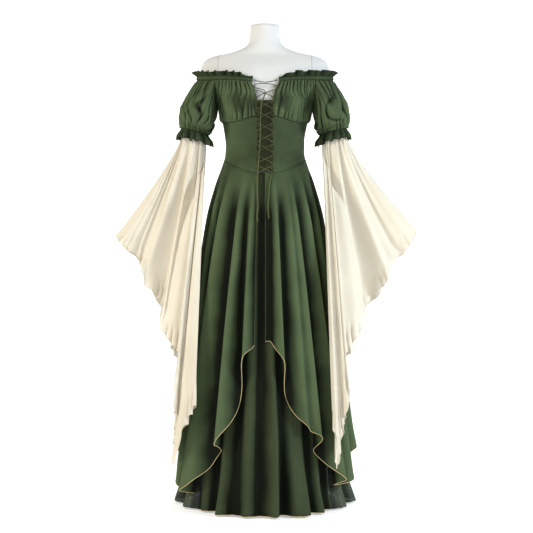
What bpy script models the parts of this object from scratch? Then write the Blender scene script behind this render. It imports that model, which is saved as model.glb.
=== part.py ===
"""A medieval gown on a limbless dress form.

The gown has an off-the-shoulder elastic neckline with a frill, gathered bust panels, raglan puff
sleeves, long pointed bell sleeves, a laced midriff, a floor-length underskirt and an open
overskirt whose front edges fall in folds. Metres, +Z up. The front faces -Y, and the origin is
the middle of the base plate's underside.

A place on the body or the skirt is given by its turn, the angle round from the centre front
towards +X, by its height, and by how far out it lies from the gown's own section there.
"""

import math

import bmesh
import bpy
from mathutils import Vector

# Driving dimensions, in metres
CLOTH = 0.0015             # thickness of the green crepe
CHIFFON = 0.0012           # thickness of the cream bell sleeves
SEAM = 0.0003              # gap between two pieces at a seam
LAYER = 0.0030             # from the overskirt in to the underskirt at the waist seam
CORD = 0.0024              # diameter of the laces
TIE = 0.0040               # diameter of the free lace ends

RING_HEIGHT = 1.2890       # lower edge of the neckline casing at the back
CASING_HEIGHT = 0.0100
FRILL_HEIGHT = 0.0190
FRILL_FLARE = 0.0110
NECK_OPEN_LEFT = -10.5     # the neckline's ends at the centre front, in degrees of turn
NECK_OPEN_RIGHT = 12.0

RAGLAN_X = 0.149           # from the centre to the raglan seams
PLACKET_X = 0.0235         # from the centre to the laced edges
NECK_GAP_X = 0.0430        # the same at the neckline, where the laced edges part
GAP_CLOSES = 1.214         # height below which the laced edges run straight

CUFF_HEIGHT = 1.1346
CUFF_RADIUS = 0.0400
CUFF_SLANT = 0.0110        # how much higher a cuff's outer side is than its middle
CUFF_FRILL_DROP = 0.0340
LACE_TOP = 1.2500
LACE_BOTTOM = 0.9950
LACE_CROSSINGS = 8

HEM_HEIGHT = 0.0060        # the underskirt's hem above the floor
FOLD_FULL_DROP = 1.0       # drop below the waist seam at which the folds have their full depth
BACK_EDGE = 179.85         # turn of the centre back seam's edges

BASE_RADIUS = 0.1700
BASE_THICKNESS = 0.0080
POLE_RADIUS = 0.0160

# The gown's own section at each height: half of its width, and its depth in front and behind
GOWN_SECTIONS = (
    # height, half width, front, back
    (0.000, 0.240, 0.214, 0.240),
    (0.100, 0.232, 0.204, 0.230),
    (0.250, 0.218, 0.190, 0.213),
    (0.450, 0.201, 0.173, 0.193),
    (0.650, 0.185, 0.156, 0.173),
    (0.811, 0.170, 0.143, 0.156),
    (0.880, 0.162, 0.135, 0.146),
    (0.924, 0.154, 0.128, 0.138),
    (0.985, 0.140, 0.117, 0.122),
    (1.016, 0.1305, 0.110, 0.112),
    (1.046, 0.1235, 0.1045, 0.104),
    (1.086, 0.1190, 0.1000, 0.0980),
    (1.120, 0.1215, 0.1040, 0.1000),
    (1.162, 0.1295, 0.1120, 0.1040),
    (1.200, 0.1410, 0.1300, 0.1070),
    (1.225, 0.1490, 0.1360, 0.1090),
    (1.250, 0.1720, 0.1310, 0.1100),
    (1.270, 0.1920, 0.1200, 0.1110),
    (1.292, 0.2045, 0.1090, 0.1110),
    (1.320, 0.2045, 0.1050, 0.1110),
)

# The dress form's section at each height
FORM_SECTIONS = (
    # height, half width, front, back
    (0.730, 0.1200, 0.0900, 0.1000),
    (0.742, 0.1460, 0.1120, 0.1220),
    (0.780, 0.1560, 0.1190, 0.1310),
    (0.840, 0.1550, 0.1190, 0.1300),
    (0.900, 0.1480, 0.1150, 0.1260),
    (0.950, 0.1370, 0.1090, 0.1180),
    (1.016, 0.1200, 0.0980, 0.1010),
    (1.050, 0.1170, 0.0950, 0.0970),
    (1.086, 0.1168, 0.0945, 0.0960),
    (1.120, 0.1188, 0.0978, 0.0976),
    (1.162, 0.1256, 0.1055, 0.1012),
    (1.200, 0.1360, 0.1220, 0.1040),
    (1.225, 0.1430, 0.1275, 0.1055),
    (1.250, 0.1600, 0.1220, 0.1065),
    (1.270, 0.1800, 0.1130, 0.1075),
    (1.292, 0.2030, 0.1070, 0.1094),
    (1.322, 0.1965, 0.0900, 0.0950),
    (1.345, 0.1880, 0.0700, 0.0780),
    (1.362, 0.1600, 0.0540, 0.0610),
    (1.374, 0.1050, 0.0490, 0.0530),
    (1.390, 0.0640, 0.0475, 0.0505),
    (1.406, 0.0490, 0.0480, 0.0500),
    (1.430, 0.0455, 0.0460, 0.0480),
    (1.454, 0.0450, 0.0450, 0.0470),
)
NECK_CAP = 0.0040          # height of the neck's cap
NECK_CAP_EDGE = 0.0025     # how far its top edge is rounded in

# Seams that run round the body
NECKLINE = (
    # turn, height
    (0, 1.266),
    (12, 1.270),
    (27, 1.277),
    (46, 1.281),
    (75, 1.287),
    (95, 1.289),
    (180, 1.289),
)
UNDERBUST_SEAM = (
    # turn, height
    (0, 1.171),
    (15, 1.169),
    (45, 1.156),
    (90, 1.161),
    (180, 1.160),
)
WAIST_SEAM = (
    # turn, height
    (0, 1.000),
    (14, 1.002),
    (34, 1.016),
    (60, 1.036),
    (90, 1.050),
    (140, 1.052),
    (180, 1.052),
)

# The folds of the skirts: their turns, and how far each stands out at its full depth
OVERSKIRT_FOLDS_LEFT = (
    # turn, out, lean
    (8.5, 0.020, 0.0),
    (12.5, 0.054, 0.3),
    (19, 0.012, 0.2),
    (24, 0.058, 0.6),
    (32, 0.013, 0.6),
    (46, 0.058, 0.8),
    (54, 0.014, 0.6),
    (63, 0.050, 0.4),
    (73, 0.014, 0.3),
    (83, 0.048, 0.2),
    (94, 0.015, 0.2),
    (105, 0.050, 0.2),
    (117, 0.014, 0.3),
    (129, 0.054, 0.3),
    (142, 0.015, 0.2),
    (154, 0.050, 0.2),
    (166, 0.014, 0.1),
    (174, 0.042, 0.0),
    (BACK_EDGE, 0.028, 0.0),
)
OVERSKIRT_FOLDS_RIGHT = (
    # turn, out, lean
    (0.5, 0.015, 0.0),
    (5.5, 0.018, 0.0),
    (10, 0.056, 0.3),
    (15.5, 0.013, 0.2),
    (23, 0.050, 0.5),
    (26, 0.042, 0.6),
    (29, 0.056, 0.7),
    (36, 0.013, 0.7),
    (45, 0.056, 0.7),
    (53, 0.014, 0.6),
    (62, 0.050, 0.4),
    (73, 0.014, 0.3),
    (84, 0.048, 0.2),
    (96, 0.014, 0.2),
    (108, 0.052, 0.3),
    (121, 0.014, 0.3),
    (134, 0.050, 0.2),
    (148, 0.015, 0.2),
    (163, 0.050, 0.1),
    (BACK_EDGE, 0.028, 0.0),
)
OVERSKIRT_HEM_LEFT = (
    # turn, height
    (8.5, 0.494),
    (12.5, 0.462),
    (16, 0.395),
    (19, 0.325),
    (24, 0.220),
    (28, 0.200),
    (32, 0.178),
    (39, 0.115),
    (46, 0.067),
    (54, 0.056),
    (64, 0.085),
    (76, 0.150),
    (90, 0.200),
    (110, 0.190),
    (140, 0.150),
    (180, 0.120),
)
OVERSKIRT_HEM_RIGHT = (
    # turn, height
    (0.5, 0.505),
    (5.5, 0.500),
    (10, 0.452),
    (13, 0.400),
    (15.5, 0.345),
    (19, 0.295),
    (23, 0.262),
    (29, 0.230),
    (33, 0.200),
    (36, 0.178),
    (41, 0.135),
    (45, 0.100),
    (53, 0.078),
    (60, 0.085),
    (70, 0.110),
    (80, 0.160),
    (94, 0.200),
    (115, 0.190),
    (145, 0.145),
    (180, 0.120),
)
UNDERSKIRT_FOLDS_FRONT = (
    # turn, out
    (-55, 0.000),
    (-47, 0.010),
    (-39, -0.009),
    (-30, 0.011),
    (-20, -0.004),
    (-11, 0.006),
    (-2, -0.003),
    (7, 0.011),
    (11, -0.010),
    (20, 0.010),
    (27, 0.009),
    (33, -0.009),
    (40, 0.010),
    (48, -0.008),
    (55, 0.000),
)
UNDERSKIRT_FOLDS_BACK = (
    # turn, out
    (55, 0.000),
    (68, 0.010),
    (82, -0.009),
    (97, 0.011),
    (112, -0.008),
    (128, 0.010),
    (145, -0.009),
    (162, 0.011),
    (180, -0.008),
    (198, 0.010),
    (215, -0.009),
    (232, 0.011),
    (248, -0.008),
    (263, 0.010),
    (278, -0.008),
    (292, 0.010),
    (305, 0.000),
)

# The hem of a bell sleeve from its outer corner to its inner one, out from the centre
BELL_HEM_LEFT = (
    # share, out, height
    (0.00, 0.458, 0.811),
    (0.12, 0.405, 0.760),
    (0.24, 0.363, 0.695),
    (0.36, 0.333, 0.622),
    (0.47, 0.300, 0.555),
    (0.57, 0.276, 0.470),
    (0.67, 0.256, 0.400),
    (0.77, 0.262, 0.275),
    (0.86, 0.272, 0.150),
    (0.93, 0.243, 0.235),
    (1.00, 0.203, 0.322),
)
BELL_HEM_RIGHT = (
    # share, out, height
    (0.00, 0.465, 0.829),
    (0.12, 0.425, 0.765),
    (0.24, 0.370, 0.700),
    (0.36, 0.330, 0.620),
    (0.47, 0.288, 0.548),
    (0.57, 0.256, 0.470),
    (0.67, 0.236, 0.390),
    (0.77, 0.229, 0.270),
    (0.86, 0.212, 0.148),
    (0.93, 0.205, 0.215),
    (1.00, 0.194, 0.305),
)

# What differs from side to side: -1 is the side towards -X
SIDES = (
    # name, side, cuff from the centre, folds, hem, bell hem
    ("left", -1, 0.2140, OVERSKIRT_FOLDS_LEFT, OVERSKIRT_HEM_LEFT, BELL_HEM_LEFT),
    ("right", 1, 0.2080, OVERSKIRT_FOLDS_RIGHT, OVERSKIRT_HEM_RIGHT, BELL_HEM_RIGHT),
)

# Colours and finishes
GREEN = (0.052, 0.078, 0.034, 1.0)
SHEER_GREEN = (0.110, 0.140, 0.085, 1.0)
OLIVE = (0.045, 0.042, 0.018, 1.0)
CREAM = (0.820, 0.780, 0.670, 1.0)
LACE_GREEN = (0.130, 0.150, 0.090, 1.0)
FORM_WHITE = (0.850, 0.850, 0.840, 1.0)
STAND_GREY = (0.300, 0.300, 0.310, 1.0)


def start_empty():
    for thing in list(bpy.data.objects):
        bpy.data.objects.remove(thing, do_unlink=True)


def new_collection(name):
    collection = bpy.data.collections.new(name)
    bpy.context.scene.collection.children.link(collection)
    return collection


def new_material(name, colour, roughness, metallic=0.0):
    material = bpy.data.materials.new(name)
    material.use_nodes = True
    shader = material.node_tree.nodes["Principled BSDF"]
    shader.inputs["Base Color"].default_value = colour
    shader.inputs["Roughness"].default_value = roughness
    shader.inputs["Metallic"].default_value = metallic
    return material


def reading(rows, place, column=1):
    """Reads a column of a table between its rows, on one smooth curve."""
    if place <= rows[0][0]:
        return rows[0][column]
    if place >= rows[-1][0]:
        return rows[-1][column]
    index = 0
    while rows[index + 1][0] < place:
        index += 1
    start, end = rows[index], rows[index + 1]
    span = end[0] - start[0]
    share = (place - start[0]) / span
    before = rows[max(index - 1, 0)]
    after = rows[min(index + 2, len(rows) - 1)]
    slope_in = (end[column] - before[column]) / (end[0] - before[0]) * span
    slope_out = (after[column] - start[column]) / (after[0] - start[0]) * span
    square, cube = share ** 2, share ** 3
    return ((2 * cube - 3 * square + 1) * start[column]
            + (cube - 2 * square + share) * slope_in
            + (3 * square - 2 * cube) * end[column]
            + (cube - square) * slope_out)


def fold_reading(rows, place, column=1):
    """Reads a table of folds, whose rows are its ridges and valleys, rounded at each row."""
    if place <= rows[0][0]:
        return rows[0][column]
    for start, end in zip(rows, rows[1:]):
        if place <= end[0]:
            share = (place - start[0]) / (end[0] - start[0])
            return start[column] + (end[column] - start[column]) * smooth(share)
    return rows[-1][column]


def smooth(share):
    share = min(max(share, 0.0), 1.0)
    return share * share * (3 - 2 * share)


def between(start, end, share):
    return start + (end - start) * share


def steps(start, end, count):
    return [between(start, end, index / count) for index in range(count + 1)]


def bump(share, middle, width):
    """One soft hump, 1 high, along a share from 0 to 1."""
    return math.exp(-((share - middle) / width) ** 2)


# Places on the body and the skirt

def section_point(sections, turn, height, out=0.0):
    angle = math.radians(turn)
    depth = reading(sections, height, 2 if math.cos(angle) >= 0 else 3) + out
    width = reading(sections, height, 1) + out
    return Vector((width * math.sin(angle), -depth * math.cos(angle), height))


def turn_at(distance, height):
    """The turn at which the gown's section lies this far from the centre."""
    share = min(distance / reading(GOWN_SECTIONS, height, 1), 1.0)
    return math.degrees(math.asin(share))


def front_point(x, height, out):
    """A place in front of the gown, this far from its centre plane."""
    turn = math.copysign(turn_at(abs(x), height), x)
    return section_point(GOWN_SECTIONS, turn, height, out)


def seam_height(seam, turn):
    return reading(seam, abs((turn + 180) % 360 - 180))


def fold_growth(drop):
    """The share of its full depth that a fold has at a drop below the waist seam."""
    return (max(drop, 0.0) / FOLD_FULL_DROP) ** 0.75


def laced_edge(height):
    """How far the laced front edges lie from the centre."""
    share = (height - GAP_CLOSES) / (RING_HEIGHT - GAP_CLOSES)
    return between(PLACKET_X, NECK_GAP_X, smooth(share))


# Making the solids

def add_mesh(name, points, faces, material, collection):
    mesh = bpy.data.meshes.new(name)
    mesh.from_pydata([tuple(point) for point in points], [], faces)
    mesh.validate()
    piece = bpy.data.objects.new(name, mesh)
    piece.data.materials.append(material)
    collection.objects.link(piece)
    return piece


def loft_faces(row_count, column_count, closed):
    """The quads between rows of points. Closed rows join their last point to their first."""
    faces = []
    for row in range(row_count - 1):
        for column in range(column_count if closed else column_count - 1):
            right = (column + 1) % column_count
            low, high = row * column_count, (row + 1) * column_count
            faces.append((low + column, low + right, high + right, high + column))
    return faces


def cloth(name, rows, material, collection, thickness=CLOTH, closed=False):
    """A wall of cloth: the open surface through rows of points, made solid."""
    points = [point for row in rows for point in row]
    faces = loft_faces(len(rows), len(rows[0]), closed)
    piece = add_mesh(name, points, faces, material, collection)
    piece.data.shade_smooth()
    wall = piece.modifiers.new("Wall", "SOLIDIFY")
    wall.thickness = thickness
    wall.offset = 0.0
    wall.use_even_offset = False
    wall.use_quality_normals = True
    return piece


def capped_loft(name, rows, material, collection):
    """A closed body through closed rows of points, with a flat cap at each end."""
    points = [point for row in rows for point in row]
    count = len(rows[0])
    faces = loft_faces(len(rows), count, True)
    faces.append(tuple(reversed(range(count))))
    faces.append(tuple(range(len(points) - count, len(points))))
    piece = add_mesh(name, points, faces, material, collection)
    built = bmesh.new()
    built.from_mesh(piece.data)
    bmesh.ops.recalc_face_normals(built, faces=built.faces)
    built.to_mesh(piece.data)
    built.free()
    piece.data.shade_smooth()
    return piece


def cord(name, route, diameter, material, collection, resolution=2):
    """A round cord along a list of points."""
    curve = bpy.data.curves.new(name, "CURVE")
    curve.dimensions = "3D"
    curve.bevel_depth = diameter / 2
    curve.bevel_resolution = resolution
    curve.use_fill_caps = True
    spline = curve.splines.new("POLY")
    spline.points.add(len(route) - 1)
    for place, point in zip(spline.points, route):
        place.co = (*point, 1.0)
    piece = bpy.data.objects.new(name, curve)
    piece.data.materials.append(material)
    collection.objects.link(piece)
    return piece


def smooth_route(route, count):
    """The same route through more points, on one smooth curve."""
    length = [0.0]
    for start, end in zip(route, route[1:]):
        length.append(length[-1] + (Vector(end) - Vector(start)).length)
    rows = [(along, *point) for along, point in zip(length, route)]
    return [Vector([reading(rows, along, axis) for axis in (1, 2, 3)])
            for along in steps(0.0, length[-1], count)]


# The dress form and its stand

FORM_COLUMNS = 20


def build_form(collection, form_white, stand_grey):
    heights = [row[0] for row in FORM_SECTIONS]
    turns = [360 * index / FORM_COLUMNS for index in range(FORM_COLUMNS)]
    rows = [[section_point(FORM_SECTIONS, turn, height) for turn in turns] for height in heights]
    capped_loft("form_torso", rows, form_white, collection)

    top = FORM_SECTIONS[-1]
    low = top[0] + SEAM
    cap_rows = []
    for height, inset in ((low, 0.0), (low + NECK_CAP * 0.6, 0.0), (low + NECK_CAP, NECK_CAP_EDGE)):
        ring = [section_point(FORM_SECTIONS, turn, top[0], -inset) for turn in turns]
        cap_rows.append([Vector((point.x, point.y, height)) for point in ring])
    capped_loft("form_neck_cap", cap_rows, form_white, collection)

    bpy.ops.mesh.primitive_cylinder_add(
        vertices=16, radius=POLE_RADIUS,
        depth=FORM_SECTIONS[0][0] - BASE_THICKNESS - 2 * SEAM,
        location=(0, 0, (FORM_SECTIONS[0][0] + BASE_THICKNESS) / 2))
    settle_primitive("form_pole", stand_grey, collection)

    bpy.ops.mesh.primitive_cylinder_add(
        vertices=32, radius=BASE_RADIUS, depth=BASE_THICKNESS, location=(0, 0, BASE_THICKNESS / 2))
    base = settle_primitive("form_base", stand_grey, collection)
    edge = base.modifiers.new("Edge", "BEVEL")
    edge.width = 0.002
    edge.segments = 1
    edge.limit_method = "ANGLE"


def settle_primitive(name, material, collection):
    """Names the primitive that was just added, and puts it in the object's collection."""
    piece = bpy.context.active_object
    for holder in list(piece.users_collection):
        holder.objects.unlink(piece)
    collection.objects.link(piece)
    piece.name = name
    piece.data.name = name
    piece.data.materials.append(material)
    piece.data.shade_smooth()
    piece.data.set_sharp_from_angle(angle=math.radians(40))
    return piece


# The bodice

BUST_FOOT = 1.162          # about where the underbust seam runs
BUST_GATHERS = 8
BUST_BACK_GATHERS = 11
GATHER_DEPTH = 0.0050
BUST_ROWS = (0.0, 0.03, 0.15, 0.29, 0.42, 0.53, 0.66, 0.80, 0.95, 1.0)
UNDERARM_ROW = 4           # the row at the foot of the armhole


def gather_out(share, wave, depth=GATHER_DEPTH):
    """How far gathered cloth stands out, up a panel that is gathered at both of its ends."""
    ends = bump(share, 0.15, 0.14) + bump(share, 0.87, 0.12)
    sewn = smooth((share - 0.03) / 0.08) * smooth((0.97 - share) / 0.08)
    return depth * ends * sewn * (0.5 + 0.5 * wave)


def panel_turn(turn_low, turn_high, height, across):
    """The turn of a place across a panel, whose two edges are given as turns at a height."""
    return between(turn_low(height), turn_high(height), across)


def bust_panel(name, turn_low, turn_high, gathers, material, collection):
    """A gathered panel from the underbust seam to the neckline, between two turns."""
    rows = []
    for share in BUST_ROWS:
        row = []
        for column in range(2 * gathers + 1):
            across = column / (2 * gathers)
            low = seam_height(UNDERBUST_SEAM, panel_turn(turn_low, turn_high, BUST_FOOT, across))
            high = seam_height(NECKLINE, panel_turn(turn_low, turn_high, RING_HEIGHT, across))
            height = between(low + SEAM, high, share)
            turn = between(turn_low(height), turn_high(height), across)
            wave = -math.cos(math.pi * column)
            row.append(section_point(GOWN_SECTIONS, turn, height, gather_out(share, wave)))
        rows.append(row)
    cloth(name, rows, material, collection)


def raglan_height(share, top_turn):
    """The height of a row of the bust panels at a raglan seam, which ends at this turn."""
    return between(seam_height(UNDERBUST_SEAM, 90) + SEAM, seam_height(NECKLINE, top_turn), share)


def raglan_turn(height):
    """The turn of the raglan seam, which meets the side seam at the underarm."""
    if height <= raglan_height(BUST_ROWS[UNDERARM_ROW], 180) + SEAM:
        return 90.0
    return turn_at(RAGLAN_X, height)


def seam_turn(height):
    """The turn that a seam's gap takes up on one side of it."""
    return math.degrees(SEAM / reading(GOWN_SECTIONS, height, 1))


def build_bust(collection, green):
    def laced(height):
        return turn_at(laced_edge(height), height)

    def raglan(height):
        return raglan_turn(height) - seam_turn(height)

    bust_panel("bust_front_left", lambda height: -laced(height), lambda height: -raglan(height),
               BUST_GATHERS, green, collection)
    bust_panel("bust_front_right", laced, raglan, BUST_GATHERS, green, collection)
    bust_panel("bust_back", lambda height: 180 - raglan(height), lambda height: 180 + raglan(height),
               BUST_BACK_GATHERS, green, collection)


MIDRIFF_FOOT = 1.030       # about where the waist seam runs
MIDRIFF_ROWS = 5
MIDRIFF_FRONT_COLUMNS = BUST_GATHERS
MIDRIFF_BACK_COLUMNS = 14
MODESTY_FOOT = 1.004
MODESTY_MARGIN = 0.007     # how far the modesty panel reaches behind each laced edge


def midriff_panel(name, turn_low, turn_high, columns, material, collection):
    """A smooth panel between the waist seam and the underbust seam."""
    rows = []
    for share in steps(0.0, 1.0, MIDRIFF_ROWS):
        row = []
        for across in steps(0.0, 1.0, columns):
            foot_turn = panel_turn(turn_low, turn_high, MIDRIFF_FOOT, across)
            head_turn = panel_turn(turn_low, turn_high, BUST_FOOT, across)
            low = seam_height(WAIST_SEAM, foot_turn) + SEAM
            high = seam_height(UNDERBUST_SEAM, head_turn) - SEAM
            height = between(low, high, share)
            turn = between(turn_low(height), turn_high(height), across)
            row.append(section_point(GOWN_SECTIONS, turn, height))
        rows.append(row)
    cloth(name, rows, material, collection)


def build_midriff(collection, green, olive):
    def laced(height):
        return turn_at(PLACKET_X, height)

    def side(height):
        return 90 - seam_turn(height)

    midriff_panel("midriff_front_left", lambda height: -laced(height), lambda height: -side(height),
                  MIDRIFF_FRONT_COLUMNS, green, collection)
    midriff_panel("midriff_front_right", laced, side, MIDRIFF_FRONT_COLUMNS, green, collection)
    midriff_panel("midriff_back", lambda height: 180 - side(height),
                  lambda height: 180 + side(height), MIDRIFF_BACK_COLUMNS, green, collection)

    inset = CLOTH + 4 * SEAM
    reach = PLACKET_X + MODESTY_MARGIN
    rows = [[front_point(x, height, -inset) for x in steps(-reach, reach, 4)]
            for height in steps(MODESTY_FOOT, GAP_CLOSES, 8)]
    cloth("modesty_panel", rows, olive, collection)


CASING_COLUMNS = 36
FRILL_WAVES = 26
FRILL_COLUMNS_A_WAVE = 3
FRILL_WAVE = 0.0055
CASING_LOW = 0.0012        # from the neckline seam up to the casing
CASING_TOP = CASING_LOW + CASING_HEIGHT


def neckline_turns(count):
    """Turns from the left end of the neckline round the back to its right end."""
    return steps(NECK_OPEN_RIGHT, 360 + NECK_OPEN_LEFT, count)


def neckline_point(turn, rise, out):
    """A place straight above the neckline seam."""
    seam = seam_height(NECKLINE, turn)
    point = section_point(GOWN_SECTIONS, turn, seam + 0.006, out)
    return Vector((point.x, point.y, seam + rise))


def build_neckline(collection, green):
    casing_rows = [[neckline_point(turn, rise, 0.0) for turn in neckline_turns(CASING_COLUMNS)]
                   for rise in (CASING_LOW, CASING_TOP)]
    cloth("neck_casing", casing_rows, green, collection)

    columns = FRILL_WAVES * FRILL_COLUMNS_A_WAVE
    rows = []
    for share in (0.0, 0.3, 1.0):
        row = []
        for column, turn in enumerate(neckline_turns(columns)):
            end = min(column, columns - column) / (2 * FRILL_COLUMNS_A_WAVE)
            wave = math.sin(2 * math.pi * column / FRILL_COLUMNS_A_WAVE)
            uneven = 1 + 0.3 * math.sin(0.9 * column)
            out = share ** 2 * (FRILL_FLARE + FRILL_WAVE * uneven * wave) * smooth(end + 0.4)
            rise = share * FRILL_HEIGHT * smooth(end * 0.8 + 0.3)
            row.append(neckline_point(turn, CASING_TOP + 3 * SEAM + rise, out))
        rows.append(row)
    cloth("neck_frill", rows, green, collection)


# The puff sleeves

SHOULDER_COLUMNS = 14      # those of a puff's columns that lie along the neckline
PUFF_ROWS = (0.0, 0.05, 0.18, 0.36, 0.56, 0.78, 1.0)
CUFF_BAND = 0.007
PUFF_GATHER = 0.0045
PUFF_CLEAR = 0.0020        # from the raglan seam to the puff's edge
UNDERARM_CLEAR = 0.0036
SHOULDER_X = 0.175
# The loop that draws the puff out between its armhole and its cuff
PUFF_FROM_CENTRE = 0.212
PUFF_FULL_X = 0.055
PUFF_FULL_Y = 0.150
PUFF_FULL_HEIGHT = 1.158
PUFF_FULL_LEAN = 0.040     # how much higher its outer side is


def armhole_loop(side):
    """The raglan armhole: along the neckline, down behind to the underarm and up in front."""
    front_turn = raglan_turn(seam_height(NECKLINE, 45)) + 1.0
    back_turn = 180 - raglan_turn(RING_HEIGHT) - 0.9
    places = [(turn, seam_height(NECKLINE, turn), 0.0)
              for turn in steps(front_turn, back_turn, SHOULDER_COLUMNS)]
    shares = BUST_ROWS[UNDERARM_ROW:-1]
    underarm = raglan_height(shares[0], 180)
    for share in reversed(shares):
        height = raglan_height(share, back_turn)
        clear = between(PUFF_CLEAR, UNDERARM_CLEAR, bump(height, underarm, 0.03))
        places.append((180 - raglan_turn(height), height, clear))
    for share in shares[1:]:
        height = raglan_height(share, front_turn)
        clear = between(PUFF_CLEAR, UNDERARM_CLEAR, bump(height, underarm, 0.03))
        places.append((raglan_turn(height), height, clear))
    loop = []
    for turn, height, clear in places:
        point = section_point(GOWN_SECTIONS, turn, height)
        loop.append(Vector((side * (point.x + clear), point.y, point.z)))
    return loop


def cuff_point(side, from_centre, around, radius, height):
    """A place on the cuff. Around is 0 outside, a quarter behind and three quarters in front."""
    angle = 2 * math.pi * around
    return Vector((side * (from_centre + radius * math.cos(angle)), radius * math.sin(angle),
                   height + CUFF_SLANT * math.cos(angle)))


def clear_of_body(point, clearance):
    """Moves a point out of the gown's body, straight away from its middle."""
    width = reading(GOWN_SECTIONS, point.z, 1) + clearance
    depth = reading(GOWN_SECTIONS, point.z, 2 if point.y < 0 else 3) + clearance
    inside = math.hypot(point.x / width, point.y / depth)
    if inside >= 1:
        return point
    return Vector((point.x / inside, point.y / inside, point.z))


def build_puff(name, side, from_centre, material, collection):
    armhole = armhole_loop(side)
    count = len(armhole)
    rows = []
    for share in PUFF_ROWS:
        row = []
        for column, start in enumerate(armhole):
            around = ((column - SHOULDER_COLUMNS / 2) / count) % 1.0
            angle = 2 * math.pi * around
            end = cuff_point(side, from_centre, around, CUFF_RADIUS, CUFF_HEIGHT + CUFF_BAND)
            full = Vector((side * (PUFF_FROM_CENTRE + PUFF_FULL_X * math.cos(angle)),
                           PUFF_FULL_Y * math.sin(angle),
                           PUFF_FULL_HEIGHT + PUFF_FULL_LEAN * math.cos(angle)))
            point = (start * (1 - share) ** 2 + full * 2 * share * (1 - share) + end * share ** 2)
            axis = Vector((side * between(SHOULDER_X, from_centre, share), 0.0, point.z))
            away = (point - axis).normalized()
            wave = math.cos(math.pi * column)
            ends = bump(share, 0.16, 0.14) + bump(share, 0.84, 0.12) + 0.35 * bump(share, 0.5, 0.3)
            point += away * PUFF_GATHER * ends * (0.5 + 0.5 * wave)
            if 0.0 < share < 1.0:
                point = clear_of_body(point, PUFF_CLEAR * (1 + 3 * bump(share, 0.5, 0.3)))
            row.append(point)
        rows.append(row)
    rows.append([Vector((point.x, point.y, point.z - CUFF_BAND + 2 * SEAM)) for point in rows[-1]])
    cloth(name, rows, material, collection, closed=True)


CUFF_FRILL_WAVES = 11
CUFF_FRILL_COLUMNS_A_WAVE = 3
CUFF_FRILL_FLARE = 0.0105
CUFF_FRILL_WAVE = 0.0045


def build_cuff_frill(name, side, from_centre, material, collection):
    columns = CUFF_FRILL_WAVES * CUFF_FRILL_COLUMNS_A_WAVE
    rows = []
    for share in (0.0, 0.2, 1.0):
        row = []
        for column in range(columns):
            wave = math.sin(2 * math.pi * column / CUFF_FRILL_COLUMNS_A_WAVE)
            radius = CUFF_RADIUS + 0.0005 + share * (CUFF_FRILL_FLARE + CUFF_FRILL_WAVE * wave)
            height = CUFF_HEIGHT - SEAM - share * CUFF_FRILL_DROP
            row.append(cuff_point(side, from_centre, column / columns, radius, height))
        rows.append(row)
    cloth(name, rows, material, collection, closed=True)


# The bell sleeves

BELL_COLUMNS = 26
BELL_ROWS = (0.0, 0.05, 0.13, 0.23, 0.34, 0.46, 0.58, 0.70, 0.81, 0.91, 1.0)
BELL_FALL = 0.060          # how far the sleeve falls straight before it spreads
BELL_TOP_RADIUS = 0.0350
BELL_TOP_FLARE = 0.0044    # how much wider its top edge is, to meet the cuff
BELL_TOP_DROP = 0.0040     # from the cuff down to that edge
BELL_WAVES = 4.5
BELL_LEAN = 0.8            # how far a wave leans sideways for its depth
BELL_DEPTH = 0.032
BELL_WAVE_DEPTH = 0.019
SKIRT_REACH = 0.062        # how far the overskirt's folds reach at their full depth
SLEEVE_REACH = 0.060       # how much wider than the skirt the sleeves' hang is
SLEEVE_CLEAR = 0.030       # from the skirt forward to the middle of a sleeve
SLEEVE_SWING = 0.025       # how much further forward it hangs at the foot


def skirt_front(distance, height):
    """How far forward a sleeve must hang to lie on the skirt, this far from the centre."""
    growth = fold_growth(MIDRIFF_FOOT - height)
    reach = SKIRT_REACH * growth
    width = reading(GOWN_SECTIONS, height, 1) + reach + SLEEVE_REACH
    depth = reading(GOWN_SECTIONS, height, 2) + reach + SLEEVE_CLEAR + SLEEVE_SWING * growth
    inside = max(1 - (distance / width) ** 2, 0.0)
    return depth * inside ** 0.8


def bell_point(side, from_centre, hem, column, share):
    around = column / BELL_COLUMNS
    front = around <= 0.5
    along = 2 * around if front else 2 * (1 - around)
    angle = math.pi * along
    radius = BELL_TOP_RADIUS + BELL_TOP_FLARE * smooth(1 - share / BELL_ROWS[1])
    top = CUFF_HEIGHT + CUFF_SLANT * math.cos(angle) - BELL_TOP_DROP
    ring = Vector((from_centre + radius * math.cos(angle), 0.0, top))
    end = Vector((reading(hem, along, 1), 0.0, reading(hem, along, 2)))
    layer = math.sin(angle) ** 0.6 if 0 < along < 1 else 0.0
    phase = 0.4 if front else 2.1
    wave = math.sin(2 * math.pi * BELL_WAVES * along + phase) * layer * share
    fall = ring - Vector((0, 0, BELL_FALL))
    point = ring * (1 - share) ** 2 + fall * 2 * share * (1 - share) + end * share ** 2
    forward = skirt_front(point.x, point.z) * smooth(share * 3.2)
    lean = BELL_LEAN * smooth(along * 3) * smooth((1 - along) * 2.2) * (1 if front else -0.6)
    point.x += lean * BELL_WAVE_DEPTH * wave
    half = between(radius, BELL_DEPTH, smooth(share * 2))
    if share < 0.1:
        layer = math.sin(angle)
    offset = half * layer + BELL_WAVE_DEPTH * wave
    return Vector((side * point.x, -forward + (-offset if front else offset), point.z))


def build_bell(name, side, from_centre, hem, material, collection):
    rows = [[bell_point(side, from_centre, hem, column, share) for column in range(BELL_COLUMNS)]
            for share in BELL_ROWS]
    cloth(name, rows, material, collection, thickness=CHIFFON, closed=True)


# The skirts

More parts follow.
